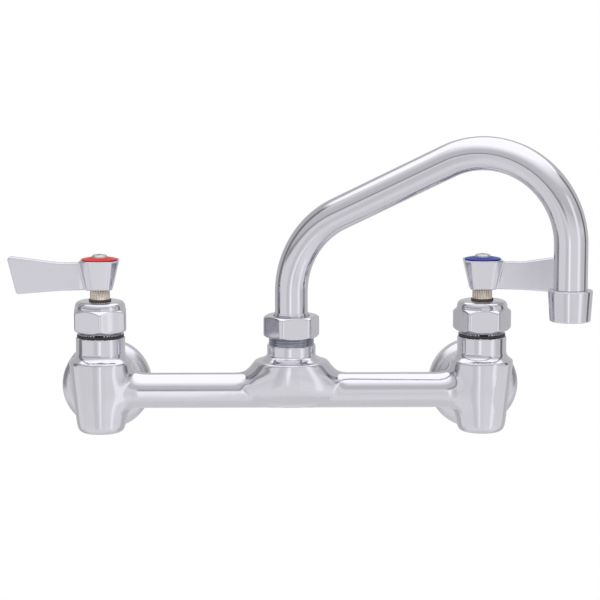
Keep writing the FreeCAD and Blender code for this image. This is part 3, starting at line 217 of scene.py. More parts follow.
def place_group(tree, group, **values):
    """A copy of a node group in a material, with its own values."""
    node = add(tree, "ShaderNodeGroup", node_tree=group)
    for label, value in values.items():
        node.inputs[label.replace("_", " ")].default_value = value
    return node


def two_tones(tree, shader, share, first, second):
    """Runs the base colour from the first tone to the second as the share goes from 0 to 1."""
    colour = add(tree, "ShaderNodeMix", {"Factor": share, "A": first, "B": second}, data_type="RGBA")
    tree.links.new(colour.outputs["Result"], shader.inputs["Base Color"])


def finish_surface(tree, shader, roughness, height, distance):
    """Gives a shader its roughness, and a bump that turns a height of 1 into a distance."""
    bump = add(tree, "ShaderNodeBump", {"Height": height, "Distance": distance})
    tree.links.new(roughness, shader.inputs["Roughness"])
    tree.links.new(bump.outputs["Normal"], shader.inputs["Normal"])


# %% [markdown]
# ## Finish one: hand polish
#
# Chrome is a few thousandths of a millimetre thick, so it shows whatever the
# polishing wheel left. Two things give real plating away: slow waves some
# millimetres long, which make a reflected edge wander, and a faint haze where a
# cloth has wiped it. The group gives a height in which 1 stands for the full
# wave, and a roughness.

# %% The polish group
WAVE_SCALE, CLOTH_SCALE, GRIT_SCALE, GRIT = 170.0, 75.0, 2600.0, 0.018
CLOTH_START, CLOTH_FULL = 0.42, 0.72

polish, given, result = new_group(
    "hand_polish", {"Base": 0.05, "Haze": 0.04, "Wave": 1.0, "Size": 1.0}, ("Roughness", "Height"))
spot = own_spot(polish)
slow = noise(polish, spot, calculate(polish, "MULTIPLY", given.outputs["Size"], WAVE_SCALE),
             Detail=1.0, Roughness=0.4)
wiped = noise(polish, spot, CLOTH_SCALE, Detail=5.0, Roughness=0.6, Distortion=0.8)
cloth = share_between(polish, wiped, CLOTH_START, CLOTH_FULL)
fine = noise(polish, spot, GRIT_SCALE, Detail=2.0)
haze = calculate(polish, "MULTIPLY", cloth, given.outputs["Haze"])
grit = calculate(polish, "MULTIPLY", fine, GRIT)
polish.links.new(
    calculate(polish, "ADD", given.outputs["Base"], calculate(polish, "ADD", haze, grit)),
    result.inputs["Roughness"])
polish.links.new(
    calculate(polish, "MULTIPLY", slow, given.outputs["Wave"]), result.inputs["Height"])
print("group:", polish.name)

# %% [markdown]
# ## Finish two: turning lines
#
# A lathe tool leaves a very fine spiral. Chrome nearly fills it and bare brass
# keeps it. The lines run round the upright axis, so height alone makes them: one
# wave of a sine for each pitch. Height comes in metres, so 6283 times a height is
# a full turn for each millimetre. The lines wander a little, as a real cut does.

# %% The turning group
TURN_FOR_1_MM = 6283.0
WANDER_SCALE, WANDER = 400.0, 6.0

turning, given, result = new_group(
    "turning_lines", {"Pitch": 0.3, "Depth": 1.0}, ("Height",))
spot = own_spot(turning)
height = add(turning, "ShaderNodeSeparateXYZ", {"Vector": spot}).outputs["Z"]
turns = calculate(turning, "DIVIDE", calculate(turning, "MULTIPLY", height, TURN_FOR_1_MM),
                  given.outputs["Pitch"])
wander = calculate(turning, "MULTIPLY", noise(turning, spot, WANDER_SCALE, Detail=2.0), WANDER)
line = calculate(turning, "SINE", calculate(turning, "ADD", turns, wander))
turning.links.new(calculate(turning, "MULTIPLY", line, given.outputs["Depth"]),
                  result.inputs["Height"])
print("group:", turning.name)

# %% [markdown]
# ## Finish three: moulded grain
#
# Rubber, fibre and acetal come out of a mould or a press with a fine dull
# surface. One noise gives the grain and a slower one gives the cloudy patches
# that stop the colour from looking painted on.

# %% The grain group
GRAIN_SCALE, CLOUD_SCALE = 2200.0, 190.0

grain, given, result = new_group(
    "moulded_grain", {"Size": 1.0, "Base": 0.6, "Patch": 0.1}, ("Roughness", "Height", "Cloud"))
spot = own_spot(grain)
speck = noise(grain, spot, calculate(grain, "MULTIPLY", given.outputs["Size"], GRAIN_SCALE),
              Detail=3.0, Roughness=0.7)
cloud = noise(grain, spot, CLOUD_SCALE, Detail=3.0)
patch = calculate(grain, "MULTIPLY", cloud, given.outputs["Patch"])
grain.links.new(calculate(grain, "ADD", given.outputs["Base"], patch), result.inputs["Roughness"])
grain.links.new(speck, result.inputs["Height"])
grain.links.new(cloud, result.inputs["Cloud"])
print("group:", grain.name)

# %% [markdown]
# ## Chrome
#
# Chrome is a slightly blue mirror that gives back about three fifths of the
# light. The cast body, the turned trim, the threads and the zinc levers carry
# the same plating over differently smooth metal, so they share one recipe. They
# differ in haze, wave and turning lines. One chrome has a darker colour: painted
# shade for the shade in a thread and a groove. The levers' flat blades are
# brushed to a paler satin.

# %% Chrome materials
MICRON = 1e-6
CHROME = (0.602, 0.596, 0.645, 1.0)
SATIN_CHROME = (0.640, 0.634, 0.686, 1.0)
# Painted shade: a darker chrome colour for the shade in threads and grooves.
SHADED_CHROME = (0.27, 0.28, 0.33, 1.0)
SATIN_START, SATIN_FULL = 9.5, 11.5
TURNED_PITCH = 0.35


def chrome(name, base, haze, wave, size=1.0, lines=0.0, colour=CHROME, satin=0.0):
    """Plated metal. Wave and lines are heights in thousandths of a millimetre.

    Satin is how much duller the handles' blades are than their hubs. They are paler too."""
    material, tree, shader = new_material(name, Base_Color=colour, Metallic=1.0)
    finish = place_group(tree, polish, Base=base, Haze=haze, Wave=wave, Size=size)
    roughness, height = finish.outputs["Roughness"], finish.outputs["Height"]
    if satin:
        parts = add(tree, "ShaderNodeSeparateXYZ", {"Vector": own_spot(tree)}).outputs
        blade = share_between(tree, calculate(tree, "ABSOLUTE", parts["X"]),
                              (HALF_CENTRES + SATIN_START) * MM, (HALF_CENTRES + SATIN_FULL) * MM)
        two_tones(tree, shader, blade, colour, SATIN_CHROME)
        roughness = calculate(tree, "ADD", roughness, calculate(tree, "MULTIPLY", blade, satin))
    if lines:
        cut = place_group(tree, turning, Pitch=TURNED_PITCH, Depth=lines)
        height = calculate(tree, "ADD", height, cut.outputs["Height"])
    finish_surface(tree, shader, roughness, height, MICRON)
    return material


chrome_cast = chrome("chrome_cast", base=0.09, haze=0.06, wave=34.0)
chrome_turned = chrome("chrome_turned", base=0.07, haze=0.05, wave=8.0, size=1.4, lines=0.05)
chrome_tube = chrome("chrome_tube", base=0.085, haze=0.05, wave=9.0, size=0.8)
chrome_lever = chrome("chrome_lever", base=0.08, haze=0.06, wave=10.0, satin=0.32)
# Painted shade: this chrome is coloured darker for the shade in a thread and a groove.
chrome_painted_shade = chrome("chrome_painted_shade", base=0.16, haze=0.10, wave=5.0, colour=SHADED_CHROME)
chrome_flange = chrome("chrome_flange", base=0.24, haze=0.10, wave=30.0, size=1.6)
print("the last of six chromes:", chrome_flange.name)

# %% [markdown]
# ## Brass and steel
#
# The stems, seats and small screws inside stay bare. Brass goes brown where
# water reaches it, so its colour runs between fresh and tarnished brass in slow
# clouds. The stems are a paler brass with some nickel in it, and stainless steel
# keeps its grey.

# %% Bare metals
DULL_CLOUD, FRESH_CLOUD, BARE_LINES = 0.35, 0.65, 1.6


def bare_metal(name, fresh, dull, rough, pitch=TURNED_PITCH):
    """Metal without plating: its colour drifts between two tones under turning lines."""
    material, tree, shader = new_material(name, Metallic=1.0)
    finish = place_group(tree, polish, Base=rough, Haze=0.18, Wave=2.0, Size=2.0)
    cloud = place_group(tree, grain).outputs["Cloud"]
    share = share_between(tree, cloud, DULL_CLOUD, FRESH_CLOUD)
    two_tones(tree, shader, share, (*dull, 1), (*fresh, 1))
    cut = place_group(tree, turning, Pitch=pitch, Depth=BARE_LINES)
    height = calculate(tree, "ADD", finish.outputs["Height"], cut.outputs["Height"])
    finish_surface(tree, shader, finish.outputs["Roughness"], height, MICRON)
    return material


brass = bare_metal("bare_brass", (0.47, 0.36, 0.25), (0.30, 0.22, 0.15), rough=0.22)
stem_brass = bare_metal("nickel_brass", (0.74, 0.67, 0.59), (0.52, 0.46, 0.40), rough=0.26)
steel = bare_metal("stainless_steel", (0.50, 0.49, 0.49), (0.42, 0.41, 0.41), rough=0.3, pitch=0.2)
print("bare metals:", brass.name, stem_brass.name, steel.name)

# %% [markdown]
# ## Rubber, fibre, acetal and enamel
#
# These four aren't metal. Rubber and pressed fibre are dull, acetal is a waxy
# white plastic, and the coloured rings on the handles are smooth. The rings
# mirror little, so that the bright studio doesn't wash their colour out.

# %% Moulded materials
def moulded(name, light, dark, rough, size, height, **sockets):
    """A moulded surface whose colour drifts between two tones. Height is its grain's, in mm."""
    material, tree, shader = new_material(name, **sockets)
    finish = place_group(tree, grain, Size=size, Base=rough, Patch=0.12).outputs
    two_tones(tree, shader, finish["Cloud"], (*dark, 1), (*light, 1))
    finish_surface(tree, shader, finish["Roughness"], finish["Height"], height * MM)
    return material


RUBBER_GRAIN = {"size": 1.0, "height": 0.01}
ENAMEL_GLOSS = {"rough": 0.22, "size": 0.5, "height": 0.002, "Specular_IOR_Level": 0.12}
rubber = moulded("black_rubber", (0.028, 0.028, 0.03), (0.014, 0.014, 0.015), 0.5, **RUBBER_GRAIN)
seal = moulded("brown_seal", (0.085, 0.066, 0.052), (0.055, 0.043, 0.034), 0.55, **RUBBER_GRAIN)
fibre = moulded("pressed_fibre", (0.36, 0.19, 0.11), (0.24, 0.12, 0.07), 0.75, size=0.4, height=0.03)
acetal = moulded(
    "white_acetal", (0.86, 0.86, 0.84), (0.80, 0.80, 0.77), 0.35, size=0.8, height=0.004)
ENAMEL = {
    "hot": moulded("red_enamel", (0.70, 0.012, 0.018), (0.60, 0.008, 0.012), **ENAMEL_GLOSS),
    "cold": moulded("blue_enamel", (0.010, 0.040, 0.42), (0.006, 0.026, 0.32), **ENAMEL_GLOSS)}
print("moulded:", rubber.name, seal.name, fibre.name, acetal.name, "and two enamels")

# %% [markdown]
# ## Pieces that keep their engineering shape
#
# The pieces inside the valves, the hub and the outlet are already the right
# shape, and most are hidden. They only need their finish.

# %% Finishes for the kept pieces
def both_sides(*pieces):
    """The names of pieces that the hot and the cold side each have."""
    return [f"{side}_{piece}" for side in SIDES for piece in pieces]


KEPT = {
    brass: both_sides("valve_seat", "washer_holder", "washer_screw"),
    rubber: both_sides("seat_washer", "stem_seals") + ["spout_seals", "outlet_washer"],
    fibre: both_sides("union_washer"),
    acetal: ["spout_bearing", "spout_split_ring", "aerator_insert"],
    steel: ["aerator_screen"],
}
for finish, names in KEPT.items():
    for name in names:
        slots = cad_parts[name].data.materials
        slots.clear()
        slots.append(finish)
print("kept pieces:", sum(len(names) for names in KEPT.values()))

# %% [markdown]
# ## Tool one: spinning an outline
#
# Rings, stems and shells are turned on a lathe. The outline is half of the
# section, as (radius, height) corners taken anticlockwise. A turned corner is
# never sharp, so each corner gets a small arc. Two extra points close to each
# arc keep the flats beside it flat, which matters on polished metal: a
# reflection shows the smallest bend.

# %% Rounded outlines
SIDE_SHARE, GUARD_SHARE, LONGEST_GUARD, TINY = 0.45, 0.3, 0.12, 1e-4


def arc_corner(before, corner, after, radius, steps):
    """The points that replace one corner of an outline by an arc."""
    a, b = before - corner, after - corner
    la, lb = np.linalg.norm(a), np.linalg.norm(b)
    a, b = a / la, b / lb
    half = math.acos(float(np.clip(a @ b, -1, 1))) / 2
    reach = min(radius / math.tan(half), SIDE_SHARE * la, SIDE_SHARE * lb)
    if reach < TINY:
        return [corner]
    radius = reach * math.tan(half)
    middle = corner + (a + b) / np.linalg.norm(a + b) * radius / math.sin(half)
    start, end = corner + a * reach, corner + b * reach
    first = math.atan2(start[1] - middle[1], start[0] - middle[0])
    sweep = math.atan2(end[1] - middle[1], end[0] - middle[0]) - first
    sweep = (sweep + math.pi) % (2 * math.pi) - math.pi
    arc = [middle + radius * np.array([math.cos(first + sweep * t), math.sin(first + sweep * t)])
           for t in np.linspace(0, 1, steps)]
    guard = min(reach * GUARD_SHARE, LONGEST_GUARD)
    return [start + a * guard, *arc, end + b * guard]


def rounded(corners, radius, steps=6):
    """A closed outline with rounded corners. A corner is (x, y) or (x, y, its own radius)."""
    spots = [np.array(corner[:2], float) for corner in corners]
    outline = []
    for i, corner in enumerate(corners):
        own = corner[2] if len(corner) > 2 else radius
        following = spots[(i + 1) % len(spots)]
        if own and spots[i][0] > 1e-6:
            outline += arc_corner(spots[i - 1], spots[i], following, own, steps)
        else:
            outline.append(spots[i])
    return np.array(outline)


print("points round a rounded square:", len(rounded(((1, 0), (3, 0), (3, 2), (1, 2)), 0.25)))


# %% Spinning
def ring_faces(count, segments):
    """Faces from each ring of points to the next, and from the last back to the first."""
    faces = []
    for i in range(count):
        low, high = i * segments, (i + 1) % count * segments
        faces += [(low + j, low + (j + 1) % segments, high + (j + 1) % segments, high + j)
                  for j in range(segments)]
    return faces


def spin(outline, segments, ripple):
    """Points and faces of a closed outline of (radius, height) spun about the upright axis."""
    angles = np.linspace(0, 2 * math.pi, segments, endpoint=False)
    radius = np.repeat(outline[:, :1], segments, axis=1)
    height = np.repeat(outline[:, 1:2], segments, axis=1)
    if ripple is not None:
        radius = ripple(radius, height, np.broadcast_to(angles, radius.shape))
    points = np.stack([radius * np.cos(angles), radius * np.sin(angles), height], axis=2)
    return points.reshape(-1, 3), ring_faces(len(outline), segments)


SAME_SPOT = 1e-7


def turned_piece(name, corners, place, radius=0.25, segments=128, ripple=None, stand=UPRIGHT):
    """A lathe piece from its corners. Points that meet on the axis are welded."""
    points, faces = spin(rounded(corners, radius), segments, ripple)
    piece = make_piece(name, points, faces, place, stand=stand)
    work = bmesh.new()
    work.from_mesh(piece.data)
    bmesh.ops.remove_doubles(work, verts=work.verts, dist=SAME_SPOT)
    bmesh.ops.dissolve_degenerate(work, edges=work.edges, dist=SAME_SPOT)
    work.to_mesh(piece.data)
    work.free()
    return piece


# %% [markdown]
# ## Tool two: wrapping a skin round a formula
#
# A casting has no sharp inside corners: metal wouldn't fill them. The easiest
# way to get that everywhere at once is to describe the solid by a formula that
# gives the distance to its surface, less than zero inside, and to join the
# formulas of its parts softly. Polygons drawn by hand would need a fillet at
# every joint.

# %% Soft joins of distances
EDGE_SOFTNESS = 0.6


def soft_union(a, b, width):
    """The nearer of two distances, with a fillet about half as wide as width."""
    near = np.maximum(width - np.abs(a - b), 0) / width
    return np.minimum(a, b) - near**3 * width / 6


def soft_cut(a, b, width):
    """What lies inside both, with the edge between them rounded."""
    return -soft_union(-a, -b, width)


print("a join of width 4 adds", round(-float(soft_union(0.0, 0.0, 4.0)), 2), "mm in its corner")


def beyond(x, y, start, end):
    """Distance past a line, to the right of the way from start to end."""
    dx, dy = end[0] - start[0], end[1] - start[1]
    return ((x - start[0]) * dy - (y - start[1]) * dx) / math.hypot(dx, dy)


def turned_side(radius, height, corners):
    """Distance to a turned body whose outline bulges outwards, corners given from its foot up.

    A third number of a corner is the softness of its edge."""
    edges = [beyond(radius, height, a, b) for a, b in zip(corners, corners[1:])]
    side = edges[0]
    for edge, corner in zip(edges[1:], corners[1:]):
        side = soft_cut(side, edge, corner[2] if len(corner) > 2 else EDGE_SOFTNESS)
    return side


# %% [markdown]
# The skin itself is laid in three moves. A grid finds the small cubes in which
# the distance changes sign, and each gets a point. The points are pulled on to
# the surface along the slope of the distance. Then they are evened out, so that
# the faces are all about the same size. The shading normals come from the slope
# too, which makes a mirror out of quite a coarse mesh.

# %% Pulling points to the surface
PART_OF_THE_WAY = 0.6


def slope_of(distance, points, step=0.01):
    """The distance at each point, and how it grows in each direction."""
    here = distance(*points.T)
    slope = np.empty_like(points)
    for axis in range(3):
        ahead, behind = points.copy(), points.copy()
        ahead[:, axis] += step
        behind[:, axis] -= step
        slope[:, axis] = (distance(*ahead.T) - distance(*behind.T)) / (2 * step)
    return here, slope


def unit(vectors):
    """The same directions, each with a length of 1."""
    return vectors / np.maximum(np.linalg.norm(vectors, axis=1, keepdims=True), 1e-9)


def pull(distance, points, cell):
    """One step towards the surface, never longer than a cell."""
    here, slope = slope_of(distance, points)
    step = here[:, None] * slope / np.maximum((slope**2).sum(1), 1e-6)[:, None]
    length = np.linalg.norm(step, axis=1, keepdims=True)
    return points - step * np.minimum(1, cell / np.maximum(length, 1e-9))


def even_out(distance, points, quads, cell):
    """Moves each point part of the way to the middle of its neighbours, along the surface."""
    total, count = np.zeros_like(points), np.zeros(len(points))
    for a, b in ((0, 1), (1, 2), (2, 3), (3, 0), (1, 0), (2, 1), (3, 2), (0, 3)):
        for axis in range(3):
            total[:, axis] += np.bincount(quads[:, a], points[quads[:, b], axis], len(points))
        count += np.bincount(quads[:, a], minlength=len(points))
    away = total / count[:, None] - points
    normal = unit(slope_of(distance, points)[1])
    away -= (away * normal).sum(1, keepdims=True) * normal
    return pull(distance, points + PART_OF_THE_WAY * away, cell)


# %% Laying the skin
FIRST_PULLS = 3


def crossed_cubes(inside):
    """Numbers the grid's cubes that the surface runs through; the others get -1."""
    nx, ny, nz = inside.shape
    corners = sum(inside[i:nx - 1 + i, j:ny - 1 + j, k:nz - 1 + k].astype(np.int8)
                  for i in (0, 1) for j in (0, 1) for k in (0, 1))
    crossed = (corners > 0) & (corners < 8)
    number = np.full(crossed.shape, -1)
    number[crossed] = np.arange(crossed.sum())
    return number


def faces_across(inside, number, axis):
    """A face of four cubes round each grid edge along this axis that the surface cuts."""
    last = inside.shape[axis] - 1
    before = np.take(inside, range(last), axis)
    edges = np.argwhere(before != np.take(inside, range(1, last + 1), axis))
    ring = []
    for step in ((-1, -1), (0, -1), (0, 0), (-1, 0)):
        cube = edges.copy()
        cube[:, (axis + 1) % 3] += step[0]
        cube[:, (axis + 2) % 3] += step[1]
        ring.append(number[tuple(cube.T)])
    ring = np.stack(ring, axis=1)
    flipped = ~before[tuple(edges.T)]
    ring[flipped] = ring[flipped][:, ::-1]
    return ring


def skin(name, distance, low, high, place, cell, rounds=4, **laid):
    """A piece whose surface is where the distance is zero, inside the box from low to high."""
    lines = [np.arange(l, h + cell, cell) for l, h in zip(low, high)]
    inside = distance(*np.meshgrid(*lines, indexing="ij", sparse=True)) < 0
    number = crossed_cubes(inside)
    points = (np.argwhere(number >= 0) + 0.5) * cell + np.array(low)
    quads = np.concatenate([faces_across(inside, number, axis) for axis in range(3)])
    for _ in range(FIRST_PULLS):
        points = pull(distance, points, cell)
    for _ in range(rounds):
        points = even_out(distance, points, quads, cell)
    normals = unit(slope_of(distance, points)[1])
    return make_piece(name, points, quads.tolist(), place, normals=normals, **laid)


# %% [markdown]
# ## The cast body: valves
#
# Bridge, barrels and hub are one sand casting. Each valve barrel is widest just
# under its shoulder, tapers to a rounded foot, and carries a plain neck on a
# short slope. Behind it a boss swells out to the thread of the wall union.

# %% Formula of one valve
BOSS_TOP, WATERWAY_RADIUS, WATERWAY_END = 14.7, 8.0, 14.0


def valve_cast(x, y, z):
    """Distance to one end of the casting, measured from the valve's axis."""
    across = np.hypot(x, y)
    barrel = turned_side(across, z, (
        (0, -22.5), (13.6, -22.5, 6.3), (16.6, 0, 9), (18.1, 16.6, 2.2), (0, 16.6)))
    slope = turned_side(across, z, ((0, 10), (11.5, 10), (16.3, 16.6), (13.1, 18.5), (0, 18.5)))
    neck = turned_side(across, z, ((0, 10), (13.1, 10), (13.1, GASKET_FOOT, 0.7), (0, GASKET_FOOT)))
    round_y = np.hypot(x, z)
    boss = turned_side(round_y, y, ((0, 2), (15.3, 2), (18.3, 11, 7), (18.3, 22.6, 1.6), (0, 22.6)))
    boss = soft_cut(boss, z - BOSS_TOP, 1.6)
    spigot = turned_side(round_y, y, ((0, 10), (14.6, 10), (14.6, 30.6, 1.0), (0, 30.6)))
    waterway = np.maximum(round_y - WATERWAY_RADIUS, WATERWAY_END - y)
    solid = soft_union(barrel, soft_union(slope, neck, 4.0), 0.8)
    solid = soft_union(solid, soft_union(boss, spigot, 0.6), 4.0)
    return soft_cut(solid, -waterway, 0.8)


print("from a valve's middle to its skin:", round(-float(valve_cast(0.0, 0.0, 0.0)), 1), "mm")


# %% [markdown]
# ## The cast body: hub and bridge
#
# The hub grows out of the bridge tube like the hull of a boat: a narrow keel
# inside the tube, long and full at the tube's middle, round at the shoulder. Its
# formula is an ellipse whose two half-widths change with height. They follow one
# smooth curve through six measured ovals, so that no reflection breaks on it.

# %% Formula of the whole casting
KEEL, SHOULDER, BRIDGE_RADIUS = -9.0, 16.4, 9.4
OVAL_LEVELS = (KEEL, -6.58, -2.63, 2.6, 9.2, SHOULDER)
HALF_LENGTH = np.polynomial.Polynomial.fit(OVAL_LEVELS, (13.0, 19.0, 25.5, 27.0, 24.4, 19.4), 4)
HALF_WIDTH = np.polynomial.Polynomial.fit(OVAL_LEVELS, (2.4, 9.4, 14.6, 17.2, 18.8, 19.4), 5)
FILLET_UNDER, FILLET_GROWTH, GROWS_FROM, GROWS_OVER = 1.2, 6.0, -7, 12


def hub_cast(x, y, z):
    """Distance to the hub, measured from its own axis."""
    level = np.clip(z, KEEL, SHOULDER)
    a, b = HALF_LENGTH(level), HALF_WIDTH(level)
    near, spread = np.hypot(x / a, y / b), np.hypot(x / a**2, y / b**2)
    bell = near * (near - 1) / np.maximum(spread, 1e-9)
    bell = soft_cut(soft_cut(bell, z - SHOULDER, 2.2), KEEL - z, 0.5)
    across = np.hypot(x, y)
    slope = turned_side(across, z, ((0, 8), (17.6, 8), (17.6, SHOULDER), (12.95, 18.8), (0, 18.8)))
    collar = turned_side(across, z, ((0, 8), (12.95, 8), (12.95, 25, 1.2), (0, 25)))
    return bell, soft_union(slope, collar, 1.6)


def casting(x, y, z):
    """Distance to the whole casting, measured from the middle of the bridge.

    The fillet between bridge and hub is narrow under the tube and wide over it."""
    bridge = np.maximum(np.hypot(y, z) - BRIDGE_RADIUS, np.abs(x) - HALF_CENTRES)
    bell, top = hub_cast(x, y, z)
    grown = np.clip((z - GROWS_FROM) / GROWS_OVER, 0, 1) ** 2
    softness = FILLET_UNDER + FILLET_GROWTH * grown
    middle = soft_union(soft_union(bridge, bell, softness), top, 0.8)
    return soft_union(middle, valve_cast(np.abs(x) - HALF_CENTRES, y, z), 10.0)


cast = skin("casting_skin", casting, (-121, -20, -24), (121, 33, 31), CENTRE, cell=0.9, rounds=5)
fit(cast, "faucet_body", chrome_cast, "chrome_body", "body_casting")

# %% [markdown]
# ## The thread under the spout nut
#
# A few turns of the hub's thread show between the collar and the nut. They are
# much finer than the rest of the casting, so they get a mesh of their own: an
# outline with a row of points for each eighth of a turn, and a ripple that
# climbs as it goes round, which is what makes it a screw and not a stack of
# rings.

# %% Thread helpers
def thread_rows(radius, low, high, pitch):
    """Outline points up a thread, eight for each turn."""
    count = int(round((high - low) / pitch * 8))
    return [(radius, low + (high - low) * i / count, 0) for i in range(count + 1)]


def thread_ripple(radius_there, low, high, pitch, depth):
    """Moves the radius by depth once for each turn, between two heights.

    The groove is flat for a fifth of the pitch and slopes for a fifth on either side."""
    def ripple(radius, height, angle):
        phase = (height / pitch - angle / (2 * math.pi)) % 1
        groove = np.clip(1.5 - np.abs(phase - 0.5) * 5, 0, 1)
        fade = np.clip(np.minimum(height - low, high - height) / (0.5 * pitch), 0, 1)
        there = (np.abs(radius - radius_there) < 1e-6) & (height >= low) & (height <= high)
        return radius + depth * groove * fade * there
    return ripple


HUB_THREAD = (12.1, 25.0, 33.2, 1.4)
hub_thread = turned_piece("hub_thread", (
    (9.4, 24), (12.1, 24), *thread_rows(*HUB_THREAD), (12.1, 33.6), (9.4, 33.6)),
    CENTRE, ripple=thread_ripple(*HUB_THREAD, -0.4))
# The thread gets the darker chrome: painted shade for the shade under the nut.
fit(hub_thread, "faucet_body", chrome_painted_shade, "chrome_body", "body_casting")

# %% [markdown]
# ## Hexagons
#
# A bonnet and a nut start as hexagon bar. Turning their ends leaves the curved
# top edge that every hexagon nut has. In the formula that is six flats, cut by
# a turned body.

# %% Formula of a hexagon
CORNER_SOFTNESS = 1.5


def hexagon_side(x, y, flats, turn):
    """Distance to six flats standing round the axis."""
    side = None
    for k in range(3):
        angle = turn + k * math.pi / 3
        flat = np.abs(x * math.cos(angle) + y * math.sin(angle)) - flats / 2
        side = flat if side is None else soft_cut(side, flat, CORNER_SOFTNESS)
    return side


def hexagon_nut(x, y, z, turn, flats, corner, foot, top, chamfer):
    """Distance to hexagon bar with both ends turned. Corner is the radius left at its corners."""
    ends = turned_side(np.hypot(x, y), z, (
        (0, foot), (flats / 2, foot), (corner, foot + chamfer), (corner, top - chamfer),
        (flats / 2, top), (0, top)))
    return soft_cut(hexagon_side(x, y, flats, turn), ends, 0.8)


print("27 mm hexagon, 15 mm out:", float(hexagon_side(15.0, 0.0, 27.0, 0.0)), "mm past its flat")


# %% [markdown]
# ## Bonnets
#
# A bonnet closes the valve round its stem. From the gasket up it has a thin
# flange, a groove, the hexagon and a rounded crown. The two stand at different
# angles, because a screwed piece stops where it is tight. A thin spun ring at
# the groove's floor is coloured dark chrome: painted shade for the groove.

# %% The two bonnets
BONNET_TURN = {"hot": math.radians(2.5), "cold": math.radians(30)}
WIPER_FOOT, WIPER_SEAT = 47.1, 5.95


def bonnet_formula(turn):
    """The distance to a bonnet whose hexagon is turned by an angle."""
    def distance(x, y, z):
        across = np.hypot(x, y)
        hexagon = hexagon_nut(
            x, y, z, turn, flats=27.5, corner=15.7, foot=32.4, top=44.3, chamfer=1.6)
        crown = turned_side(across, z, ((0, 34), (13.5, 34), (13.5, 48.6, 5.6), (0, 48.6)))
        groove = turned_side(across, z, ((0, GASKET_TOP), (11.2, GASKET_TOP), (11.2, 36), (0, 36)))
        flange = turned_side(across, z, (
            (0, GASKET_TOP), (12.5, GASKET_TOP, 0.2), (12.5, 31.3, 0.2), (0, 31.3)))
        solid = soft_union(soft_union(hexagon, crown, 0.9), np.minimum(groove, flange), 0.5)
        seat = np.maximum(across - WIPER_SEAT, WIPER_FOOT - z)
        return soft_cut(solid, -seat, 0.5)
    return distance


for side, place in VALVE_PLACE.items():
    bonnet = skin(f"{side}_bonnet_metal", bonnet_formula(BONNET_TURN[side]),
                  (-16.5, -16.5, 30), (16.5, 16.5, 49.3), place, cell=0.5)
    fit(bonnet, "faucet_body", chrome_turned, "chrome_trim", f"{side}_bonnet")
    # Painted shade: a thin dark ring at the groove's floor stands for the shade in the groove.
    groove = turned_piece(f"{side}_bonnet_groove_shade", (
        (10.9, 31.32), (11.3, 31.32), (11.3, 32.6), (10.9, 32.6)), place, radius=0.05)
    fit(groove, "faucet_body", chrome_painted_shade, "chrome_trim", f"{side}_bonnet")

# %% [markdown]
# ## Spout nut
#
# The nut under the spout is the same kind of hexagon, shorter, with a hole that
# the swivel comes through.

# %% The spout nut
NUT_TURN, NUT_HOLE = math.radians(9.4 + 30), 9.6


def spout_nut_formula(x, y, z):
    """The distance to the spout nut."""
    solid = hexagon_nut(
        x, y, z, NUT_TURN, flats=27.0, corner=15.1, foot=28.9, top=40.6, chamfer=1.1)
    return soft_cut(solid, NUT_HOLE - np.hypot(x, y), 0.6)


nut = skin("spout_nut_metal", spout_nut_formula, (-16, -16, 28.4), (16, 16, 41.2), CENTRE, cell=0.5)
fit(nut, "faucet_body", chrome_turned, "chrome_trim", "spout_nut")

# %% [markdown]
# ## Unions behind the valves
#
# A coupling nut pulls each wall flange against the casting. It lies with its
# axis towards the wall, so it is shaped upright and laid back.

# %% The coupling nuts
UNION_RADIUS, UNION_TOP, SHANK_HOLE = 14.65, 35.5, 11.3


def coupling_formula(x, y, z):
    """The distance to a coupling nut, with the hollow for the union in it."""
    solid = hexagon_nut(
        x, y, z, math.pi / 6, flats=33.0, corner=18.2, foot=23.0, top=38.1, chamfer=1.6)
    across = np.hypot(x, y)
    hollow = np.minimum(np.maximum(across - UNION_RADIUS, z - UNION_TOP), across - SHANK_HOLE)
    return soft_cut(solid, -hollow, 0.5)


for side, place in VALVE_PLACE.items():
    nut = skin(f"{side}_coupling_metal", coupling_formula, (-19.5, -19.5, 22.4), (19.5, 19.5, 38.8),
               place, cell=0.65, stand=TO_WALL)
    fit(nut, "faucet_body", chrome_turned, "chrome_trim", f"{side}_coupling_nut")

# %% [markdown]
# ## Wall flanges
#
# Each flange is an eccentric: its round plate and pipe thread sit 5.8 mm below
# the shank that it turns on, so that the faucet fits pipes that aren't exactly
# 8 inches apart. Plate and shank are spun about their own axes. The plate's
# front is domed, and has a duller polish than the nuts.

# %% The wall flanges
PORT_THREAD = (10.3, WALL_DEPTH - 13.6, WALL_DEPTH - 0.6, 1.81)
PLATE_CORNERS = (
    (5.2, WALL_DEPTH - 15.6), (13.4, WALL_DEPTH - 15.6, 1.2), (21.5, WALL_DEPTH - 12.2, 9),
    (24.6, WALL_DEPTH - 8.4, 2.5), (24.6, WALL_DEPTH, 0.4), (10.3, WALL_DEPTH, 0.2),
    *reversed(thread_rows(*PORT_THREAD)), (10.3, WALL_DEPTH - 14), (5.2, WALL_DEPTH - 14))
SHANK_CORNERS = (
    (5.2, 32.3), (13.6, 32.3), (13.6, 35.3), (11.0, 35.3), (11.0, 49.0), (5.2, 49.0))
for side, place in VALVE_PLACE.items():
    plate = turned_piece(f"{side}_flange_plate", PLATE_CORNERS, (*place[:2], 0), segments=160,
                         ripple=thread_ripple(*PORT_THREAD, 0.7), stand=TO_WALL)
    fit(plate, f"{side}_flange", chrome_flange, "chrome_trim", f"{side}_wall_flange")
    shank = turned_piece(f"{side}_flange_shank", SHANK_CORNERS, place, stand=TO_WALL)
    fit(shank, f"{side}_flange", chrome_turned, "chrome_trim", f"{side}_wall_flange")

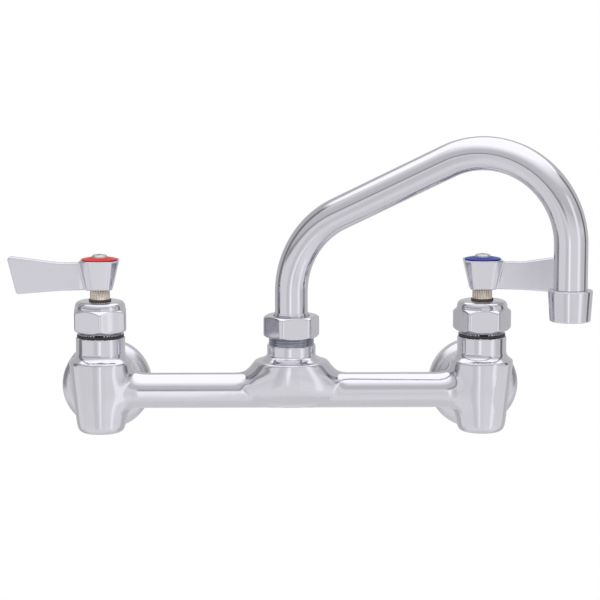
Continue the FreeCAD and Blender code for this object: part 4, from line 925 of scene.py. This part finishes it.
# %% [markdown]
# ## Stems and their rings
#
# The stem is bare brass. Its top is serrated, so that the handle can be pushed
# on at any of 24 angles and can't slip. A black gasket closes the neck, and a
# dark brown ring closes the bonnet.

# %% Stems
TEETH, TOOTH_DEPTH, TEETH_FOOT, CORE = 24, 0.35, 50.5, 4


def serration(radius, height, angle):
    """Cuts grooves into the top of the stem, outside its core."""
    groove = 0.5 - 0.5 * np.cos(TEETH * angle)
    return radius - TOOTH_DEPTH * groove * ((height > TEETH_FOOT) & (radius > CORE))


STEM_CORNERS = (
    (0, 3.0), (5.8, 3.0), (5.8, 9.5), (6.9, 9.5), (6.9, 21.0), (5.3, 22.0),
    (5.3, 30.6), (3.55, 30.6), (3.55, 32.4), (5.3, 32.4),
    (5.3, 35.6), (3.55, 35.6), (3.55, 37.4), (5.3, 37.4),
    (5.3, 50.4, 0), (5.3, 50.55, 0), (5.3, 66.0), (0, 66.0))
for side, place in VALVE_PLACE.items():
    stem = turned_piece(f"{side}_stem_brass", STEM_CORNERS, place, segments=TEETH * 8,
                        ripple=serration)
    fit(stem, f"{side}_handle", stem_brass, "brass_stem", f"{side}_stem")
    gasket = turned_piece(f"{side}_gasket_ring", (
        (10.6, GASKET_FOOT), (12.5, GASKET_FOOT), (12.5, GASKET_TOP), (10.6, GASKET_TOP)), place)
    fit(gasket, "faucet_body", rubber, "black_rubber", f"{side}_bonnet_gasket")
    wiper = turned_piece(f"{side}_wiper_ring", (
        (5.35, WIPER_FOOT), (5.9, WIPER_FOOT), (5.9, 49.6, 0.3), (5.35, 49.6)), place, radius=0.15)
    fit(wiper, "faucet_body", seal, "black_rubber", f"{side}_stem_wiper")

# %% [markdown]
# ## Levers
#
# Each handle is a zinc casting: a tapered hub with flat faces, wider at the top,
# and a flat blade that flares towards its tip. The blade's outline bends softly
# at its waist, so the formula measures the distance to that outline in the
# blade's own plane.

# %% Formula of a lever
def outline_distance(u, v, outline):
    """Distance in a plane to a closed outline; less than zero inside."""
    shape = np.broadcast(u, v).shape
    nearest, inside = np.full(shape, np.inf), np.zeros(shape, bool)
    for start, end in zip(outline, np.roll(outline, -1, axis=0)):
        run = end - start
        du, dv = u - start[0], v - start[1]
        along = np.clip((du * run[0] + dv * run[1]) / (run @ run), 0, 1)
        nearest = np.minimum(nearest, (du - run[0] * along) ** 2 + (dv - run[1] * along) ** 2)
        if run[1]:
            inside ^= ((start[1] > v) != (end[1] > v)) & (du < run[0] * dv / run[1])
    return np.where(inside, -1, 1) * np.sqrt(nearest)


HUB_FOOT, HUB_TOP = 54.6, 70.4
FACE_AT_FOOT, FACE_FLARE, FACET_AT_FOOT, FACET_FLARE = 6.7, 3.7, 4.6, 1.8
HALF_BLADE, SOCKET_RADIUS, SOCKET_TOP = 2.2, 5.45, 66.0
BLADE = rounded((
    (3.35, HUB_FOOT, 0), (21.0, 54.0, 30), (44.2, 52.2, 1.8), (49.2, 72.6, 1.8), (21.0, 68.9, 30),
    (3.35, 69.4, 0)), 0, steps=12)
print("points round a blade:", len(BLADE))


def lever_formula(way):
    """The distance to a lever whose blade points to -x or +x."""
    def distance(x, y, z):
        up = (z - HUB_FOOT) / (HUB_TOP - HUB_FOOT)
        far, near = FACE_AT_FOOT + FACE_FLARE * up, FACET_AT_FOOT + FACET_FLARE * up
        wide, deep = np.abs(x), np.abs(y)
        faces = soft_cut(np.maximum(wide, deep) - far, (wide + deep - far - near) / math.sqrt(2), 1.0)
        hub = soft_cut(soft_cut(faces, z - HUB_TOP, 1.0), HUB_FOOT - z, 1.0)
        blade = soft_cut(outline_distance(x * way, z, BLADE), deep - HALF_BLADE, 1.3)
        socket = np.maximum(np.hypot(x, y) - SOCKET_RADIUS, z - SOCKET_TOP)
        return soft_cut(soft_union(hub, blade, 2.4), -socket, 0.5)
    return distance


for side, way in SIDES.items():
    low, high = sorted((-11.5 * way, 50.5 * way))
    lever = skin(f"{side}_lever_cast", lever_formula(way), (low, -11.5, 51), (high, 11.5, 73.5),
                 VALVE_PLACE[side], cell=0.5)
    fit(lever, f"{side}_handle", chrome_lever, "chrome_handle", f"{side}_lever")

# %% [markdown]
# ## Rings and screws on the handles
#
# A thin sloping ring tells hot from cold. Inside it sits the domed screw that
# holds the handle. The photograph doesn't show how the screw is turned; a cross
# recess is the usual one.

# %% Coloured rings and handle screws
RING_SLOT = {"hot": "red_ring", "cold": "blue_ring"}
SCREW_TURN = {"hot": math.radians(-20), "cold": math.radians(20)}
RECESS_FLOOR, RECESS_DISH, RECESS_REACH = 71.7, 0.35, 2.5
HALF_ARM, ARM_FLARE, ARM_LEVEL = 0.5, 0.16, 72


def screw_formula(x, y, z):
    """The distance to a domed screw with a cross recess."""
    across = np.hypot(x, y)
    head = turned_side(across, z, (
        (0, HUB_TOP), (4.6, HUB_TOP, 0.3), (4.6, 73.4, 4.4), (0, 73.4)))
    shank = turned_side(across, z, ((0, 58), (2.0, 58), (2.0, 71), (0, 71)))
    floor = RECESS_FLOOR + RECESS_DISH * across
    cross = np.minimum(np.abs(x), np.abs(y)) - HALF_ARM - ARM_FLARE * (z - ARM_LEVEL)
    recess = np.maximum(soft_cut(cross, across - RECESS_REACH, 0.4), floor - z)
    return soft_cut(np.minimum(head, shank), -recess, 0.3)


for side, place in VALVE_PLACE.items():
    ring = turned_piece(f"{side}_ring_enamel", (
        (4.65, HUB_TOP), (9.6, HUB_TOP), (9.6, 70.9), (4.65, 71.9)), place, radius=0.2)
    fit(ring, f"{side}_handle", ENAMEL[side], RING_SLOT[side], f"{side}_index_ring")
    screw = skin(f"{side}_screw_steel", screw_formula, (-5, -5, 57.5), (5, 5, 73.8), place,
                 cell=0.24, rounds=3, turn=SCREW_TURN[side])
    fit(screw, f"{side}_handle", steel, "screw_steel", f"{side}_handle_screw")

# %% [markdown]
# ## Tool three: drawing a tube along its bend
#
# A spout is straight pipe pushed round two formers. Its centre line is
# therefore only straight lines and true arcs, and a ring of points carried
# along it gives the tube.

# %% Centre line of the spout
RISER_TOP, FIRST_BEND, SECOND_BEND = 52.8, 48.0, 45.5
SLOPE, REACH, TUBE_FOOT, TUBE_END = math.radians(26.3), 152.4, 37.2, 53.0


def straight(start, end, step):
    """Spots along a line, each with the way the line runs."""
    run = np.subtract(end, start)
    shares = np.linspace(0, 1, max(int(np.linalg.norm(run) / step), 2), endpoint=False)
    return [(start + run * t, run / np.linalg.norm(run)) for t in shares]


def bend(middle, radius, first, last, step):
    """Spots round a bend that is taken clockwise, each with the way it runs."""
    angles = np.linspace(first, last, int((first - last) * radius / step), endpoint=False)
    return [(middle + radius * np.array([math.cos(t), math.sin(t)]),
             np.array([math.sin(t), -math.cos(t)])) for t in angles]


def spout_line(step=1.6):
    """Spots (out, up) along the spout's centre line."""
    lean = math.pi / 2 + SLOPE
    first = np.array([FIRST_BEND, RISER_TOP])
    bend_end = first + FIRST_BEND * np.array([math.cos(lean), math.sin(lean)])
    run_out = REACH - SECOND_BEND * (1 + math.sin(SLOPE))
    run_end = bend_end + (run_out - bend_end[0]) * np.array([1, math.tan(SLOPE)])
    second = run_end + SECOND_BEND * np.array([math.sin(SLOPE), -math.cos(SLOPE)])
    line = straight(np.array([0, TUBE_FOOT]), np.array([0, RISER_TOP]), step)
    line += bend(first, FIRST_BEND, math.pi, lean, step)
    line += straight(bend_end, run_end, step)
    line += bend(second, SECOND_BEND, lean, 0, step)
    line += straight(np.array([REACH, second[1]]), np.array([REACH, TUBE_END]), step)
    line.append((np.array([REACH, TUBE_END]), np.array([0, -1.0])))
    return line


spout_spots = spout_line()
print("rings along the spout:", len(spout_spots))

# %% The spout tube
TUBE_RADIUS, TUBE_WALL = 8.75, 1.2


def tube(name, line, outer, wall, place, turn, segments=96):
    """A pipe along a line, with its bore, as one closed mesh."""
    angles = np.linspace(0, 2 * math.pi, segments, endpoint=False)
    rows = []
    for radius, spots in ((outer, line), (outer - wall, line[::-1])):
        for (out, up), (run_out, run_up) in spots:
            across = radius * np.cos(angles)
            rows.append(np.stack([out + across * run_up, radius * np.sin(angles),
                                  up - across * run_out], axis=1))
    faces = ring_faces(len(rows), segments)
    return make_piece(name, np.concatenate(rows), faces, place, turn=turn)


spout = tube("spout_pipe", spout_spots, TUBE_RADIUS, TUBE_WALL, CENTRE, SWING)
fit(spout, "swing_spout", chrome_tube, "chrome_trim", "spout_tube")

# %% [markdown]
# ## Swivel and outlet
#
# The tube is brazed into a swivel, of which only a lip shows above the nut. At
# the other end a tapered shell screws over the outlet and holds the aerator. A
# thin ring, brazed on the tube, carries the thread for the shell and fills the
# shell's mouth.

# %% Swivel ferrule and aerator shell
OUTLET = (HUB[0] + REACH * math.cos(SWING), HUB[1] + REACH * math.sin(SWING), LEVEL)
ferrule = turned_piece("swivel_ferrule", (
    (5.0, 10.4), (8.3, 10.4), (8.3, 34.8), (10.7, 34.8), (10.7, 36.6), (9.3, 36.6),
    (9.3, 42.0, 0.3), (8.8, 42.0, 0.1), (8.8, TUBE_FOOT), (5.0, TUBE_FOOT)), CENTRE)
fit(ferrule, "swing_spout", chrome_turned, "chrome_trim", "spout_ferrule")
shell = turned_piece("outlet_shell", (
    (8.1, 46.0, 0.3), (10.4, 46.0, 0.7), (11.5, 61.9, 0.5), (10.25, 61.9, 0.2),
    (10.25, 51.0), (9.05, 51.0), (9.05, 47.0), (8.1, 47.0)), OUTLET)
fit(shell, "swing_spout", chrome_turned, "chrome_trim", "aerator_shell")
thread_ring = turned_piece("outlet_thread_ring", (
    (7.55, 52.0), (10.2, 52.0), (10.2, 61.95, 0.5), (8.8, 62.4, 0), (8.8, TUBE_END),
    (7.55, TUBE_END)), OUTLET)
fit(thread_ring, "swing_spout", chrome_turned, "chrome_trim", "outlet_ferrule")

# %% [markdown]
# ## Studio: world, floor and lamp
#
# Polished metal shows its surroundings more than itself, so the studio matters
# as much as the metal. The world is white where the camera or a reflection sees
# it, and dimmer where it only lights things, which leaves room for the lamp and
# its soft shadow.

# %% World, floor and lamp
AMBIENT, FLOOR_SEEN, FLOOR_MIRRORED = 0.62, 0.5, 0.2
FLOOR, SPAN = -0.9, 1.5
WHITE = (1, 1, 1, 1)


def seen(tree):
    """1 for rays that the camera, a mirror or glass sees; 0 for light that only falls."""
    path = add(tree, "ShaderNodeLightPath").outputs
    shown = calculate(tree, "MAXIMUM", path["Is Camera Ray"], path["Is Glossy Ray"])
    return calculate(tree, "MAXIMUM", shown, path["Is Transmission Ray"])


world = bpy.data.worlds.new("white_studio")
world.use_nodes = True
bpy.context.scene.world = world
rest = calculate(world.node_tree, "MULTIPLY", seen(world.node_tree), 1 - AMBIENT)
sky = world.node_tree.nodes["Background"]
sky.inputs["Color"].default_value = WHITE
world.node_tree.links.new(calculate(world.node_tree, "ADD", rest, AMBIENT), sky.inputs["Strength"])


def studio_paint(name):
    """A material for studio furniture, with only its output so far."""
    paint = bpy.data.materials.new(name)
    paint.use_nodes = True
    paint.node_tree.nodes.remove(paint.node_tree.nodes["Principled BSDF"])
    return paint, paint.node_tree


floor_paint, tree = studio_paint("floor_paint")
path = add(tree, "ShaderNodeLightPath").outputs
matt = add(tree, "ShaderNodeBsdfDiffuse", {"Color": (0.9, 0.9, 0.9, 1)})
shine = calculate(tree, "ADD", calculate(tree, "MULTIPLY", path["Is Camera Ray"], FLOOR_SEEN),
                  calculate(tree, "MULTIPLY", path["Is Glossy Ray"], FLOOR_MIRRORED))
glowing = add(tree, "ShaderNodeEmission", {"Color": WHITE, "Strength": shine})
both = add(tree, "ShaderNodeAddShader", {0: matt.outputs[0], 1: glowing.outputs[0]})
tree.links.new(both.outputs[0], tree.nodes["Material Output"].inputs["Surface"])


def sheet_of(name, corners, material):
    """A flat or folded screen from rows of corners in metres, marked as studio furniture."""
    rows, count = np.array(corners).shape[:2]
    mesh = bpy.data.meshes.new(name)
    faces = [(i * count + j, i * count + j + 1, (i + 1) * count + j + 1, (i + 1) * count + j)
             for i in range(rows - 1) for j in range(count - 1)]
    mesh.from_pydata(np.array(corners).reshape(-1, 3).tolist(), [], faces)
    mesh.materials.append(material)
    thing = bpy.data.objects.new(name, mesh)
    bpy.context.scene.collection.objects.link(thing)
    return thing


sheet_of("floor", [[(-SPAN, -SPAN, FLOOR), (SPAN, -SPAN, FLOOR)],
                   [(-SPAN, SPAN, FLOOR), (SPAN, SPAN, FLOOR)]], floor_paint)

LAMP_POWER, LAMP_SIZE, LAMP_PLACE = 11, 1.1, (-0.7, -0.9, 1.2)
lamp = bpy.data.lights.new("soft_box", "AREA")
lamp.energy = LAMP_POWER
lamp.size = LAMP_SIZE
soft_box = bpy.data.objects.new("soft_box", lamp)
soft_box.location = LAMP_PLACE
soft_box.rotation_euler = (AIM - soft_box.location).to_track_quat("-Z", "Y").to_euler()
soft_box.visible_glossy = False
bpy.context.scene.collection.objects.link(soft_box)
print("lamp", lamp.energy, "W, floor at", FLOOR)

# %% [markdown]
# ## Studio: cards
#
# The photographer stands grey, black and white cards round the metal, out of the
# picture. Each gives one band in every reflection: without the black ones at the
# sides, chrome tubes have no edges. Only reflections see the cards here, so they
# change nothing about the light level. One paint serves them all: it reads two
# values at each point of a card, how bright it is and how much it covers, so
# that a card can get brighter upwards and fade out softly at its edges.

# %% Paint of the cards
card_paint, tree = studio_paint("card_paint")
glow_there = add(tree, "ShaderNodeAttribute", attribute_name="glow").outputs["Fac"]
cover_there = add(tree, "ShaderNodeAttribute", attribute_name="cover").outputs["Fac"]
clear = add(tree, "ShaderNodeBsdfTransparent")
shining = add(tree, "ShaderNodeEmission", {"Color": WHITE, "Strength": glow_there})
faded = add(tree, "ShaderNodeMixShader", {
    0: cover_there, 1: clear.outputs[0], 2: shining.outputs[0]})
tree.links.new(faded.outputs[0], tree.nodes["Material Output"].inputs["Surface"])
print("paint:", card_paint.name)

# %% Reflection cards
ROWS, COLUMNS = 8, 24


def only_reflected(thing, glow, cover):
    """Sets the paint's two values at each point, and hides a card from all but reflections."""
    for label, values in (("glow", glow), ("cover", cover)):
        thing.data.attributes.new(label, "FLOAT", "POINT").data.foreach_set("value", values)
    thing.visible_camera = thing.visible_diffuse = thing.visible_shadow = False
    thing.visible_transmission = False


def soft_span(low, high, fade, count):
    """Stops from one end of a span to the other. The first and last lie where it has faded out."""
    return [low - fade / 2, *np.linspace(low + fade / 2, high - fade / 2, count), high + fade / 2]


def card(name, around, up, glow, far=(1.0, 1.0), soft=(4.0, 4.0), foot=None):
    """A curved card. Around is its span in degrees, 0 towards the camera, + to its right.

    Up is its span in elevation. Glow and far, the distance in metres, are given for its low
    and high edges. Soft is how many degrees its edges fade over, sideways and upwards, and
    foot is the span of its low edge where that differs."""
    rows, bright, covers = [], [], []
    for i, rise in enumerate(soft_span(*up, soft[1], ROWS)):
        share = float(np.clip((rise - up[0]) / (up[1] - up[0]), 0, 1))
        span = [a + (b - a) * share for a, b in zip(foot or around, around)]
        reach = far[0] + (far[1] - far[0]) * share
        turns = soft_span(*span, soft[0], COLUMNS)
        ways = np.radians(turns) + TURNED
        rows.append([(AIM.x + reach * math.sin(way), AIM.y - reach * math.cos(way),
                      AIM.z + reach * math.tan(math.radians(rise))) for way in ways])
        bright += [glow[0] + (glow[1] - glow[0]) * share] * len(turns)
        covers += [float(0 < i <= ROWS and 0 < j <= COLUMNS) for j in range(len(turns))]
    only_reflected(sheet_of(name, rows, card_paint), bright, covers)


card("black_left", (-113, -91), (-14, 42), (0.28, 0.28))
card("black_right", (92, 108), (-14, 42), (0.22, 0.22))
card("grey_right", (66, 91), (-14, 42), (0.8, 0.8))
card("grey_left", (-33, -17), (-40, -3), (0.90, 0.80), far=(0.95, 0.97))
card("white_front", (-11, 0), (-42, -2), (1.18, 1.46), far=(0.95, 0.97), soft=(3, 3),
     foot=(-8, -4))
card("white_right", (44, 58), (-44, 30), (1.30, 1.28), far=(0.95, 0.97))
card("low_left", (-88, 14), (-38, -14), (1.04, 0.92), soft=(2, 4))
card("low_right", (14, 95), (-38, -14), (1.10, 0.95), soft=(2, 4))
card("lowest_left", (-88, 14), (-66, -38), (1.0, 1.04), far=(0.42, 1.0), soft=(2, 4))
card("lowest_right", (14, 95), (-66, -38), (0.95, 1.10), far=(0.42, 1.0), soft=(2, 4))
card("grey_front", (-89, 89), (12, 37), (0.72, 0.82))
card("front_rise", (-89, 89), (33, 62), (0.80, 1.6), far=(1.0, 0.64))
card("grey_line", (-89, 0), (4, 12), (0.36, 0.48), soft=(2, 3))
card("grey_step", (0, 89), (4, 12), (1.0, 0.84), soft=(2, 3))
card("grey_back_left", (-165, -114), (-50, 42), (0.66, 0.62), far=(0.7, 1.0))
card("grey_back_right", (111, 165), (-50, 42), (0.70, 0.70), far=(0.7, 1.0))
card("grey_wall", (165, 195), (-30, 42), (0.62, 0.72))

CEILING, CEILING_GLOW = 1.25, 1.6
overhead = sheet_of("white_overhead", [[(-1.2, -1.0, CEILING), (1.2, -1.0, CEILING)],
                                       [(-1.2, 1.6, CEILING), (1.2, 1.6, CEILING)]], card_paint)
only_reflected(overhead, [CEILING_GLOW] * 4, [1.0] * 4)
print("cards stand round the object, and one hangs", CEILING, "m up")
